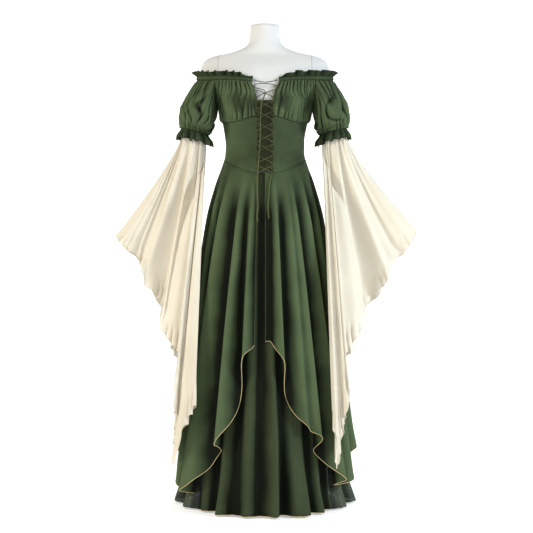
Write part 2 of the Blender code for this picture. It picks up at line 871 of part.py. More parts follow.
UNDERSKIRT_ROWS = (0.0, 0.06, 0.15, 0.30, 0.50, 0.70, 0.86, 1.0)
OVERSKIRT_ROWS = (0.0, 0.04, 0.11, 0.19, 0.29, 0.40, 0.52, 0.64, 0.76, 0.88, 1.0)
HEM_KICK = 0.030           # how far the underskirt spreads where the overskirt ends
HEM_KICK_DROP = 0.260      # the drop below the overskirt's hem over which it spreads
HEM_FOLDS = 1.1            # how much deeper its folds grow there
STEPS_A_FOLD = 2


def fold_columns(folds, each):
    """The turns of the columns: each ridge and valley, and the same number between them."""
    turns = [folds[0][0]]
    for start, end in zip(folds, folds[1:]):
        turns += steps(start[0], end[0], each)[1:]
    return turns


def underskirt_point(turn, height, out, seam):
    side_turn = (turn + 180) % 360 - 180
    hem = OVERSKIRT_HEM_LEFT if side_turn < 0 else OVERSKIRT_HEM_RIGHT
    free = smooth((reading(hem, abs(side_turn)) - 0.015 - height) / HEM_KICK_DROP)
    spread = out * fold_growth(seam - height) * (1 + HEM_FOLDS * free)
    return section_point(GOWN_SECTIONS, turn, height, spread + HEM_KICK * free - LAYER)


def build_underskirt(name, folds, material, collection):
    seam_gap = 0.06
    turns = fold_columns(folds, STEPS_A_FOLD)
    turns[0] += seam_gap
    turns[-1] -= seam_gap
    rows = []
    for share in UNDERSKIRT_ROWS:
        row = []
        for turn in turns:
            seam = seam_height(WAIST_SEAM, turn) - SEAM
            height = between(seam, HEM_HEIGHT, share)
            row.append(underskirt_point(turn, height, fold_reading(folds, turn), seam))
        rows.append(row)
    cloth(name, rows, material, collection)


def overskirt_point(side, folds, turn, height, seam):
    """A place on the overskirt: the underskirt's section, moved out, with its own folds."""
    growth = fold_growth(seam - height)
    out = fold_reading(folds, turn) * growth
    lean = math.degrees(fold_reading(folds, turn, 2) * out / reading(GOWN_SECTIONS, height, 1))
    edge = smooth((BACK_EDGE - turn) / 10)
    return section_point(GOWN_SECTIONS, side * (turn + lean * edge), height, out)


def build_overskirt(name, side, folds, hem, material, collection):
    rows = []
    for share in OVERSKIRT_ROWS:
        row = []
        for turn in fold_columns(folds, STEPS_A_FOLD):
            seam = seam_height(WAIST_SEAM, turn) - SEAM
            height = between(seam, reading(hem, turn), share)
            row.append(overskirt_point(side, folds, turn, height, seam))
        rows.append(row)
    cloth(name, rows, material, collection)


# The laces

LACE_CLEAR = 0.0013        # from the cloth to the lacing that crosses it
EYELET_TURN = 0.0022       # half the height of a lace's turn at its eyelet
BOW_ROUTE = (
    # x, height, out
    (0.0368, 1.2560, 0.0042),
    (0.0290, 1.2575, 0.0045),
    (0.0215, 1.2600, 0.0050),
    (0.0120, 1.2622, 0.0052),
    (0.0000, 1.2632, 0.0050),
    (-0.0120, 1.2632, 0.0050),
    (-0.0250, 1.2615, 0.0046),
    (-0.0325, 1.2570, 0.0042),
    (-0.0285, 1.2505, 0.0042),
    (-0.0120, 1.2460, 0.0045),
    (-0.0020, 1.2415, 0.0065),
    (0.0010, 1.2345, 0.0092),
)
LONG_END_ROUTE = (
    # x, height, out
    (0.0012, 1.2335, 0.0095),
    (0.0019, 1.2305, 0.0101),
    (0.0005, 1.2265, 0.0102),
    (-0.0085, 1.2100, 0.0098),
    (-0.0125, 1.1600, 0.0098),
    (-0.0130, 1.1000, 0.0098),
    (-0.0165, 1.0500, 0.0098),
    (-0.0195, 1.0000, 0.0096),
    (-0.0210, 0.9300, 0.0075),
    (-0.0195, 0.8950, 0.0082),
    (-0.0225, 0.8700, 0.0090),
    (-0.0200, 0.8550, 0.0094),
)
SHORT_END_ROUTE = (
    # x, height, out
    (0.0200, 0.9930, 0.0058),
    (0.0150, 0.9800, 0.0048),
    (0.0130, 0.9650, 0.0050),
    (0.0110, 0.9350, 0.0064),
    (0.0085, 0.9000, 0.0076),
    (0.0105, 0.8650, 0.0092),
)


def build_front_lacing(collection, lace_green):
    on_cloth = CLOTH / 2 + CORD / 2 + LACE_CLEAR
    spacing = (LACE_TOP - LACE_BOTTOM) / LACE_CROSSINGS
    for name, start_side, lift in (("front_lace_a", -1, 0.0), ("front_lace_b", 1, CORD + 2 * SEAM)):
        route = []
        for crossing in range(LACE_CROSSINGS + 1):
            height = LACE_TOP - crossing * spacing
            side = start_side if crossing % 2 == 0 else -start_side
            edge = side * (laced_edge(height) + 0.0025)
            for rise in (EYELET_TURN, -EYELET_TURN):
                route.append(front_point(edge, height + rise, on_cloth))
            if crossing < LACE_CROSSINGS:
                route.append(front_point(0.0, height - spacing / 2, on_cloth + lift))
        cord(name, route, CORD, lace_green, collection, resolution=1)


def build_ties(collection, lace_green):
    """The neckline's drawstring, its bow, and the two free ends that hang from the lacing."""
    middle = (CASING_LOW + CASING_TOP) / 2
    sag = (
        # share, down
        (0.0, 0.0),
        (0.25, 0.0030),
        (0.5, 0.0042),
        (0.75, 0.0030),
        (1.0, 0.0),
    )
    route = []
    for share in steps(0.0, 1.0, 8):
        turn = between(NECK_OPEN_LEFT + 0.4, NECK_OPEN_RIGHT - 0.4, share)
        forward = 0.0055 * math.sin(math.pi * share)
        route.append(neckline_point(turn, middle - reading(sag, share), forward))
    cord("neck_drawstring", route, CORD, lace_green, collection)

    bow = [front_point(x, height, out) for x, height, out in BOW_ROUTE]
    cord("neck_bow", smooth_route(bow, 16), CORD, lace_green, collection)
    for name, route, points in (("lace_end_long", LONG_END_ROUTE, 28),
                                ("lace_end_short", SHORT_END_ROUTE, 12)):
        hung = [front_point(x, height, out) for x, height, out in route]
        cord(name, smooth_route(hung, points), TIE, lace_green, collection)


def build(collection):
    green = new_material("green_crepe", GREEN, 0.75)
    sheer = new_material("sheer_green", SHEER_GREEN, 0.70)
    olive = new_material("olive_panel", OLIVE, 0.80)
    cream = new_material("cream_chiffon", CREAM, 0.80)
    lace_green = new_material("lace", LACE_GREEN, 0.70)
    form_white = new_material("form_jersey", FORM_WHITE, 0.90)
    stand_grey = new_material("stand", STAND_GREY, 0.40, 0.6)

    build_form(collection, form_white, stand_grey)
    build_bust(collection, green)
    build_midriff(collection, green, olive)
    build_neckline(collection, green)
    build_underskirt("underskirt_front", UNDERSKIRT_FOLDS_FRONT, green, collection)
    build_underskirt("underskirt_back", UNDERSKIRT_FOLDS_BACK, sheer, collection)
    for word, side, from_centre, folds, hem, bell_hem in SIDES:
        build_puff("puff_sleeve_" + word, side, from_centre, green, collection)
        build_cuff_frill("cuff_frill_" + word, side, from_centre, green, collection)
        build_bell("bell_sleeve_" + word, side, from_centre, bell_hem, cream, collection)
        build_overskirt("overskirt_" + word, side, folds, hem, green, collection)
    build_front_lacing(collection, lace_green)
    build_ties(collection, lace_green)


start_empty()
build(new_collection("medieval_gown"))
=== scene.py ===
"""The visible gown on its dress form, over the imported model.

Every cloth piece is made again from the part's own tables, with finer gathers, folds and hems.
Metres, +Z up. The front faces -Y.
"""

import math

import bpy
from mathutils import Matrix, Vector, noise


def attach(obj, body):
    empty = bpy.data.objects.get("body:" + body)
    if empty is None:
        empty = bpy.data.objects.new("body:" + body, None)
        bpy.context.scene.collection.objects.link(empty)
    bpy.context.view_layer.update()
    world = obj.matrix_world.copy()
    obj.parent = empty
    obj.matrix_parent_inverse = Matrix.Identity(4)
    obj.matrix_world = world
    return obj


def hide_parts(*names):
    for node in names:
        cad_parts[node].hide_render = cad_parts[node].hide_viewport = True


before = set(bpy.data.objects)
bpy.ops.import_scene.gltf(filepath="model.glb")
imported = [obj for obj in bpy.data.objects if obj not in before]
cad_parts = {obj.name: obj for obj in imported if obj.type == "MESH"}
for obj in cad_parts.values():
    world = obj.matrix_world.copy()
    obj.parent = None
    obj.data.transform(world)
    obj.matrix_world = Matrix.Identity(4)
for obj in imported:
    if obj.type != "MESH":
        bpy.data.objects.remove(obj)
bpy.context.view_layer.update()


# Driving dimensions, in metres
CLOTH = 0.0015             # thickness of the green crepe
SEAM = 0.0003              # gap between two pieces at a seam
LAYER = 0.0030             # from the overskirt in to the underskirt at the waist seam
CORD = 0.0024              # diameter of the laces
TIE = 0.0040               # diameter of the free lace ends

RING_HEIGHT = 1.2890       # lower edge of the neckline casing at the back
CASING_HEIGHT = 0.0100
FRILL_HEIGHT = 0.0190
FRILL_FLARE = 0.0110
NECK_OPEN_LEFT = -10.5     # the neckline's ends at the centre front, in degrees of turn
NECK_OPEN_RIGHT = 12.0

RAGLAN_X = 0.149           # from the centre to the raglan seams
PLACKET_X = 0.0235         # from the centre to the laced edges
NECK_GAP_X = 0.0430        # the same at the neckline, where the laced edges part
GAP_CLOSES = 1.214         # height below which the laced edges run straight

CUFF_HEIGHT = 1.1346
CUFF_RADIUS = 0.0400
CUFF_SLANT = 0.0110        # how much higher a cuff's outer side is than its middle
CUFF_FRILL_DROP = 0.0340
LACE_TOP = 1.2500
LACE_BOTTOM = 0.9950
LACE_CROSSINGS = 8

HEM_HEIGHT = 0.0060        # the underskirt's hem above the floor
FOLD_FULL_DROP = 1.0       # drop below the waist seam at which the folds have their full depth
BACK_EDGE = 179.85         # turn of the centre back seam's edges


# The gown's own section at each height: half of its width, and its depth in front and behind
GOWN_SECTIONS = (
    # height, half width, front, back
    (0.000, 0.240, 0.214, 0.240),
    (0.100, 0.232, 0.204, 0.230),
    (0.250, 0.218, 0.190, 0.213),
    (0.450, 0.201, 0.173, 0.193),
    (0.650, 0.185, 0.156, 0.173),
    (0.811, 0.170, 0.143, 0.156),
    (0.880, 0.162, 0.135, 0.146),
    (0.924, 0.154, 0.128, 0.138),
    (0.985, 0.140, 0.117, 0.122),
    (1.016, 0.1305, 0.110, 0.112),
    (1.046, 0.1235, 0.1045, 0.104),
    (1.086, 0.1190, 0.1000, 0.0980),
    (1.120, 0.1215, 0.1040, 0.1000),
    (1.162, 0.1295, 0.1120, 0.1040),
    (1.200, 0.1410, 0.1300, 0.1070),
    (1.225, 0.1490, 0.1360, 0.1090),
    (1.250, 0.1720, 0.1310, 0.1100),
    (1.270, 0.1920, 0.1200, 0.1110),
    (1.292, 0.2045, 0.1090, 0.1110),
    (1.320, 0.2045, 0.1050, 0.1110),
)

# The dress form's section at each height
FORM_SECTIONS = (
    # height, half width, front, back
    (0.730, 0.1200, 0.0900, 0.1000),
    (0.742, 0.1460, 0.1120, 0.1220),
    (0.780, 0.1560, 0.1190, 0.1310),
    (0.840, 0.1550, 0.1190, 0.1300),
    (0.900, 0.1480, 0.1150, 0.1260),
    (0.950, 0.1370, 0.1090, 0.1180),
    (1.016, 0.1200, 0.0980, 0.1010),
    (1.050, 0.1170, 0.0950, 0.0970),
    (1.086, 0.1168, 0.0945, 0.0960),
    (1.120, 0.1188, 0.0978, 0.0976),
    (1.162, 0.1256, 0.1055, 0.1012),
    (1.200, 0.1360, 0.1220, 0.1040),
    (1.225, 0.1430, 0.1275, 0.1055),
    (1.250, 0.1600, 0.1220, 0.1065),
    (1.270, 0.1800, 0.1130, 0.1075),
    (1.292, 0.2030, 0.1070, 0.1094),
    (1.322, 0.1965, 0.0900, 0.0950),
    (1.345, 0.1880, 0.0700, 0.0780),
    (1.362, 0.1600, 0.0540, 0.0610),
    (1.374, 0.1050, 0.0490, 0.0530),
    (1.390, 0.0640, 0.0475, 0.0505),
    (1.406, 0.0490, 0.0480, 0.0500),
    (1.430, 0.0455, 0.0460, 0.0480),
    (1.454, 0.0450, 0.0450, 0.0470),
)
NECK_CAP = 0.0040          # height of the neck's cap
NECK_CAP_EDGE = 0.0025     # how far its top edge is rounded in

# Seams that run round the body
NECKLINE = (
    # turn, height
    (0, 1.266),
    (12, 1.270),
    (27, 1.277),
    (46, 1.281),
    (75, 1.287),
    (95, 1.289),
    (180, 1.289),
)
UNDERBUST_SEAM = (
    # turn, height
    (0, 1.171),
    (15, 1.169),
    (45, 1.156),
    (90, 1.161),
    (180, 1.160),
)
WAIST_SEAM = (
    # turn, height
    (0, 1.000),
    (14, 1.002),
    (34, 1.016),
    (60, 1.036),
    (90, 1.050),
    (140, 1.052),
    (180, 1.052),
)

# The folds of the skirts: their turns, and how far each stands out at its full depth
OVERSKIRT_FOLDS_LEFT = (
    # turn, out, lean
    (8.5, 0.020, 0.0),
    (12.5, 0.054, 0.3),
    (19, 0.012, 0.2),
    (24, 0.058, 0.6),
    (32, 0.013, 0.6),
    (46, 0.058, 0.8),
    (54, 0.014, 0.6),
    (63, 0.050, 0.4),
    (73, 0.014, 0.3),
    (83, 0.048, 0.2),
    (94, 0.015, 0.2),
    (105, 0.050, 0.2),
    (117, 0.014, 0.3),
    (129, 0.054, 0.3),
    (142, 0.015, 0.2),
    (154, 0.050, 0.2),
    (166, 0.014, 0.1),
    (174, 0.042, 0.0),
    (BACK_EDGE, 0.028, 0.0),
)
OVERSKIRT_FOLDS_RIGHT = (
    # turn, out, lean
    (0.5, 0.015, 0.0),
    (5.5, 0.018, 0.0),
    (10, 0.056, 0.3),
    (15.5, 0.013, 0.2),
    (23, 0.050, 0.5),
    (26, 0.042, 0.6),
    (29, 0.056, 0.7),
    (36, 0.013, 0.7),
    (45, 0.056, 0.7),
    (53, 0.014, 0.6),
    (62, 0.050, 0.4),
    (73, 0.014, 0.3),
    (84, 0.048, 0.2),
    (96, 0.014, 0.2),
    (108, 0.052, 0.3),
    (121, 0.014, 0.3),
    (134, 0.050, 0.2),
    (148, 0.015, 0.2),
    (163, 0.050, 0.1),
    (BACK_EDGE, 0.028, 0.0),
)
OVERSKIRT_HEM_LEFT = (
    # turn, height
    (8.5, 0.494),
    (12.5, 0.462),
    (16, 0.395),
    (19, 0.325),
    (24, 0.220),
    (28, 0.200),
    (32, 0.178),
    (39, 0.115),
    (46, 0.067),
    (54, 0.056),
    (64, 0.085),
    (76, 0.150),
    (90, 0.200),
    (110, 0.190),
    (140, 0.150),
    (180, 0.120),
)
OVERSKIRT_HEM_RIGHT = (
    # turn, height
    (0.5, 0.505),
    (5.5, 0.500),
    (10, 0.452),
    (13, 0.400),
    (15.5, 0.345),
    (19, 0.295),
    (23, 0.262),
    (29, 0.230),
    (33, 0.200),
    (36, 0.178),
    (41, 0.135),
    (45, 0.100),
    (53, 0.078),
    (60, 0.085),
    (70, 0.110),
    (80, 0.160),
    (94, 0.200),
    (115, 0.190),
    (145, 0.145),
    (180, 0.120),
)
UNDERSKIRT_FOLDS_FRONT = (
    # turn, out
    (-55, 0.000),
    (-47, 0.010),
    (-39, -0.009),
    (-30, 0.011),
    (-20, -0.004),
    (-11, 0.006),
    (-2, -0.003),
    (7, 0.011),
    (11, -0.010),
    (20, 0.010),
    (27, 0.009),
    (33, -0.009),
    (40, 0.010),
    (48, -0.008),
    (55, 0.000),
)
UNDERSKIRT_FOLDS_BACK = (
    # turn, out
    (55, 0.000),
    (68, 0.010),
    (82, -0.009),
    (97, 0.011),
    (112, -0.008),
    (128, 0.010),
    (145, -0.009),
    (162, 0.011),
    (180, -0.008),
    (198, 0.010),
    (215, -0.009),
    (232, 0.011),
    (248, -0.008),
    (263, 0.010),
    (278, -0.008),
    (292, 0.010),
    (305, 0.000),
)

# The hem of a bell sleeve from its outer corner to its inner one, out from the centre
BELL_HEM_LEFT = (
    # share, out, height
    (0.00, 0.458, 0.811),
    (0.12, 0.405, 0.760),
    (0.24, 0.363, 0.695),
    (0.36, 0.333, 0.622),
    (0.47, 0.300, 0.555),
    (0.57, 0.276, 0.470),
    (0.67, 0.256, 0.400),
    (0.77, 0.262, 0.275),
    (0.86, 0.272, 0.150),
    (0.93, 0.243, 0.235),
    (1.00, 0.203, 0.322),
)
BELL_HEM_RIGHT = (
    # share, out, height
    (0.00, 0.465, 0.829),
    (0.12, 0.425, 0.765),
    (0.24, 0.370, 0.700),
    (0.36, 0.330, 0.620),
    (0.47, 0.288, 0.548),
    (0.57, 0.256, 0.470),
    (0.67, 0.236, 0.390),
    (0.77, 0.229, 0.270),
    (0.86, 0.212, 0.148),
    (0.93, 0.205, 0.215),
    (1.00, 0.194, 0.305),
)

# What differs from side to side: -1 is the side towards -X
SIDES = (
    # name, side, cuff from the centre, folds, hem, bell hem
    ("left", -1, 0.2140, OVERSKIRT_FOLDS_LEFT, OVERSKIRT_HEM_LEFT, BELL_HEM_LEFT),
    ("right", 1, 0.2080, OVERSKIRT_FOLDS_RIGHT, OVERSKIRT_HEM_RIGHT, BELL_HEM_RIGHT),
)

BUST_FOOT = 1.162          # about where the underbust seam runs
BUST_ROWS = (0.0, 0.03, 0.15, 0.29, 0.42, 0.53, 0.66, 0.80, 0.95, 1.0)
UNDERARM_ROW = 4           # the row at the foot of the armhole
MIDRIFF_FOOT = 1.030       # about where the waist seam runs
MODESTY_FOOT = 1.004
MODESTY_MARGIN = 0.007     # how far the modesty panel reaches behind each laced edge
CASING_LOW = 0.0012        # from the neckline seam up to the casing
CASING_TOP = CASING_LOW + CASING_HEIGHT
SHOULDER_COLUMNS = 14      # those of a puff's columns that lie along the neckline
CUFF_BAND = 0.007
PUFF_CLEAR = 0.0020        # from the raglan seam to the puff's edge
UNDERARM_CLEAR = 0.0036
SHOULDER_X = 0.175
PUFF_FROM_CENTRE = 0.212
PUFF_FULL_X = 0.055
PUFF_FULL_Y = 0.150
PUFF_FULL_HEIGHT = 1.158
PUFF_FULL_LEAN = 0.040     # how much higher its outer side is
CUFF_FRILL_FLARE = 0.0105
BELL_FALL = 0.060          # how far the sleeve falls straight before it spreads
BELL_TOP_RADIUS = 0.0350
BELL_TOP_FLARE = 0.0044    # how much wider its top edge is, to meet the cuff
BELL_TOP_DROP = 0.0040     # from the cuff down to that edge
BELL_WAVES = 4.5
BELL_LEAN = 0.8            # how far a wave leans sideways for its depth
BELL_DEPTH = 0.032
BELL_WAVE_DEPTH = 0.019
SKIRT_REACH = 0.062        # how far the overskirt's folds reach at their full depth
SLEEVE_REACH = 0.060       # how much wider than the skirt the sleeves' hang is
SLEEVE_CLEAR = 0.030       # from the skirt forward to the middle of a sleeve
SLEEVE_SWING = 0.025       # how much further forward it hangs at the foot
HEM_KICK = 0.030           # how far the underskirt spreads where the overskirt ends
HEM_KICK_DROP = 0.260      # the drop below the overskirt's hem over which it spreads
HEM_FOLDS = 1.1            # how much deeper its folds grow there
LACE_CLEAR = 0.0013        # from the cloth to the lacing that crosses it
EYELET_TURN = 0.0022       # half the height of a lace's turn at its eyelet

# The routes of the bow and of the free lace ends
BOW_ROUTE = (
    # x, height, out
    (0.0368, 1.2560, 0.0042),
    (0.0290, 1.2575, 0.0045),
    (0.0215, 1.2600, 0.0050),
    (0.0120, 1.2622, 0.0052),
    (0.0000, 1.2632, 0.0050),
    (-0.0120, 1.2632, 0.0050),
    (-0.0250, 1.2615, 0.0046),
    (-0.0325, 1.2570, 0.0042),
    (-0.0285, 1.2505, 0.0042),
    (-0.0120, 1.2460, 0.0045),
    (-0.0020, 1.2415, 0.0065),
    (0.0010, 1.2345, 0.0092),
)
LONG_END_ROUTE = (
    # x, height, out
    (0.0012, 1.2335, 0.0095),
    (0.0019, 1.2305, 0.0101),
    (0.0005, 1.2265, 0.0102),
    (-0.0085, 1.2100, 0.0098),
    (-0.0125, 1.1600, 0.0098),
    (-0.0130, 1.1000, 0.0098),
    (-0.0165, 1.0500, 0.0098),
    (-0.0195, 1.0000, 0.0096),
    (-0.0210, 0.9300, 0.0075),
    (-0.0195, 0.8950, 0.0082),
    (-0.0225, 0.8700, 0.0090),
    (-0.0200, 0.8550, 0.0094),
)
SHORT_END_ROUTE = (
    # x, height, out
    (0.0200, 0.9930, 0.0058),
    (0.0150, 0.9800, 0.0048),
    (0.0130, 0.9650, 0.0050),
    (0.0110, 0.9350, 0.0064),
    (0.0085, 0.9000, 0.0076),
    (0.0105, 0.8650, 0.0092),
)


# Reading the tables, and the places that they give

def reading(rows, place, column=1):
    """Reads a column of a table between its rows, on one smooth curve."""
    if place <= rows[0][0]:
        return rows[0][column]
    if place >= rows[-1][0]:
        return rows[-1][column]
    index = 0
    while rows[index + 1][0] < place:
        index += 1
    start, end = rows[index], rows[index + 1]
    span = end[0] - start[0]
    share = (place - start[0]) / span
    before = rows[max(index - 1, 0)]
    after = rows[min(index + 2, len(rows) - 1)]
    slope_in = (end[column] - before[column]) / (end[0] - before[0]) * span
    slope_out = (after[column] - start[column]) / (after[0] - start[0]) * span
    square, cube = share ** 2, share ** 3
    return ((2 * cube - 3 * square + 1) * start[column]
            + (cube - 2 * square + share) * slope_in
            + (3 * square - 2 * cube) * end[column]
            + (cube - square) * slope_out)


def fold_reading(rows, place, column=1):
    """Reads a table of folds, whose rows are its ridges and valleys, rounded at each row."""
    if place <= rows[0][0]:
        return rows[0][column]
    for start, end in zip(rows, rows[1:]):
        if place <= end[0]:
            share = (place - start[0]) / (end[0] - start[0])
            return start[column] + (end[column] - start[column]) * smooth(share)
    return rows[-1][column]


def smooth(share):
    share = min(max(share, 0.0), 1.0)
    return share * share * (3 - 2 * share)


def between(start, end, share):
    return start + (end - start) * share


def steps(start, end, count):
    return [between(start, end, index / count) for index in range(count + 1)]


def bump(share, middle, width):
    """One soft hump, 1 high, along a share from 0 to 1."""
    return math.exp(-((share - middle) / width) ** 2)


def section_point(sections, turn, height, out=0.0):
    angle = math.radians(turn)
    depth = reading(sections, height, 2 if math.cos(angle) >= 0 else 3) + out
    width = reading(sections, height, 1) + out
    return Vector((width * math.sin(angle), -depth * math.cos(angle), height))


def turn_at(distance, height):
    """The turn at which the gown's section lies this far from the centre."""
    share = min(distance / reading(GOWN_SECTIONS, height, 1), 1.0)
    return math.degrees(math.asin(share))


def front_point(x, height, out):
    """A place in front of the gown, this far from its centre plane."""
    turn = math.copysign(turn_at(abs(x), height), x)
    return section_point(GOWN_SECTIONS, turn, height, out)


def seam_height(seam, turn):
    return reading(seam, abs((turn + 180) % 360 - 180))


def fold_growth(drop):
    """The share of its full depth that a fold has at a drop below the waist seam."""
    return (max(drop, 0.0) / FOLD_FULL_DROP) ** 0.75


def laced_edge(height):
    """How far the laced front edges lie from the centre."""
    share = (height - GAP_CLOSES) / (RING_HEIGHT - GAP_CLOSES)
    return between(PLACKET_X, NECK_GAP_X, smooth(share))


def loft_faces(row_count, column_count, closed):
    """The quads between rows of points. Closed rows join their last point to their first."""
    faces = []
    for row in range(row_count - 1):
        for column in range(column_count if closed else column_count - 1):
            right = (column + 1) % column_count
            low, high = row * column_count, (row + 1) * column_count
            faces.append((low + column, low + right, high + right, high + column))
    return faces


def smooth_route(route, count):
    """The same route through more points, on one smooth curve."""
    length = [0.0]
    for start, end in zip(route, route[1:]):
        length.append(length[-1] + (Vector(end) - Vector(start)).length)
    rows = [(along, *point) for along, point in zip(length, route)]
    return [Vector([reading(rows, along, axis) for axis in (1, 2, 3)])
            for along in steps(0.0, length[-1], count)]


def panel_turn(turn_low, turn_high, height, across):
    """The turn of a place across a panel, whose two edges are given as turns at a height."""
    return between(turn_low(height), turn_high(height), across)


def raglan_height(share, top_turn):
    """The height of a row of the bust panels at a raglan seam, which ends at this turn."""
    return between(seam_height(UNDERBUST_SEAM, 90) + SEAM, seam_height(NECKLINE, top_turn), share)


def raglan_turn(height):
    """The turn of the raglan seam, which meets the side seam at the underarm."""
    if height <= raglan_height(BUST_ROWS[UNDERARM_ROW], 180) + SEAM:
        return 90.0
    return turn_at(RAGLAN_X, height)


def seam_turn(height):
    """The turn that a seam's gap takes up on one side of it."""
    return math.degrees(SEAM / reading(GOWN_SECTIONS, height, 1))


def neckline_point(turn, rise, out):
    """A place straight above the neckline seam."""
    seam = seam_height(NECKLINE, turn)
    point = section_point(GOWN_SECTIONS, turn, seam + 0.006, out)
    return Vector((point.x, point.y, seam + rise))


def armhole_loop(side):
    """The raglan armhole: along the neckline, down behind to the underarm and up in front."""
    front_turn = raglan_turn(seam_height(NECKLINE, 45)) + 1.0
    back_turn = 180 - raglan_turn(RING_HEIGHT) - 0.9
    places = [(turn, seam_height(NECKLINE, turn), 0.0)
              for turn in steps(front_turn, back_turn, SHOULDER_COLUMNS)]
    shares = BUST_ROWS[UNDERARM_ROW:-1]
    underarm = raglan_height(shares[0], 180)
    for share in reversed(shares):
        height = raglan_height(share, back_turn)
        clear = between(PUFF_CLEAR, UNDERARM_CLEAR, bump(height, underarm, 0.03))
        places.append((180 - raglan_turn(height), height, clear))
    for share in shares[1:]:
        height = raglan_height(share, front_turn)
        clear = between(PUFF_CLEAR, UNDERARM_CLEAR, bump(height, underarm, 0.03))
        places.append((raglan_turn(height), height, clear))
    loop = []
    for turn, height, clear in places:
        point = section_point(GOWN_SECTIONS, turn, height)
        loop.append(Vector((side * (point.x + clear), point.y, point.z)))
    return loop


def cuff_point(side, from_centre, around, radius, height):
    """A place on the cuff. Around is 0 outside, a quarter behind and three quarters in front."""
    angle = 2 * math.pi * around
    return Vector((side * (from_centre + radius * math.cos(angle)), radius * math.sin(angle),
                   height + CUFF_SLANT * math.cos(angle)))


def clear_of_body(point, clearance):
    """Moves a point out of the gown's body, straight away from its middle."""
    width = reading(GOWN_SECTIONS, point.z, 1) + clearance
    depth = reading(GOWN_SECTIONS, point.z, 2 if point.y < 0 else 3) + clearance
    inside = math.hypot(point.x / width, point.y / depth)
    if inside >= 1:
        return point
    return Vector((point.x / inside, point.y / inside, point.z))


def skirt_front(distance, height):
    """How far forward a sleeve must hang to lie on the skirt, this far from the centre."""
    growth = fold_growth(MIDRIFF_FOOT - height)
    reach = SKIRT_REACH * growth
    width = reading(GOWN_SECTIONS, height, 1) + reach + SLEEVE_REACH
    depth = reading(GOWN_SECTIONS, height, 2) + reach + SLEEVE_CLEAR + SLEEVE_SWING * growth
    inside = max(1 - (distance / width) ** 2, 0.0)
    return depth * inside ** 0.8


def underskirt_point(turn, height, out, seam):
    side_turn = (turn + 180) % 360 - 180
    hem = OVERSKIRT_HEM_LEFT if side_turn < 0 else OVERSKIRT_HEM_RIGHT
    free = smooth((reading(hem, abs(side_turn)) - 0.015 - height) / HEM_KICK_DROP)
    spread = out * fold_growth(seam - height) * (1 + HEM_FOLDS * free)
    return section_point(GOWN_SECTIONS, turn, height, spread + HEM_KICK * free - LAYER)


def overskirt_point(side, folds, turn, height, seam):
    """A place on the overskirt: the underskirt's section, moved out, with its own folds."""
    growth = fold_growth(seam - height)
    out = fold_reading(folds, turn) * growth
    lean = math.degrees(fold_reading(folds, turn, 2) * out / reading(GOWN_SECTIONS, height, 1))
    edge = smooth((BACK_EDGE - turn) / 10)
    return section_point(GOWN_SECTIONS, side * (turn + lean * edge), height, out)


# Materials

def new_material(name):
    material = bpy.data.materials.new(name)
    material.use_nodes = True
    return material, material.node_tree, material.node_tree.nodes["Principled BSDF"]


def node(tree, kind, **values):
    """A new node, with its own values and its sockets' set by name."""
    made = tree.nodes.new(kind)
    for key, value in values.items():
        if key in made.inputs:
            made.inputs[key].default_value = value
        else:
            setattr(made, key, value)
    return made


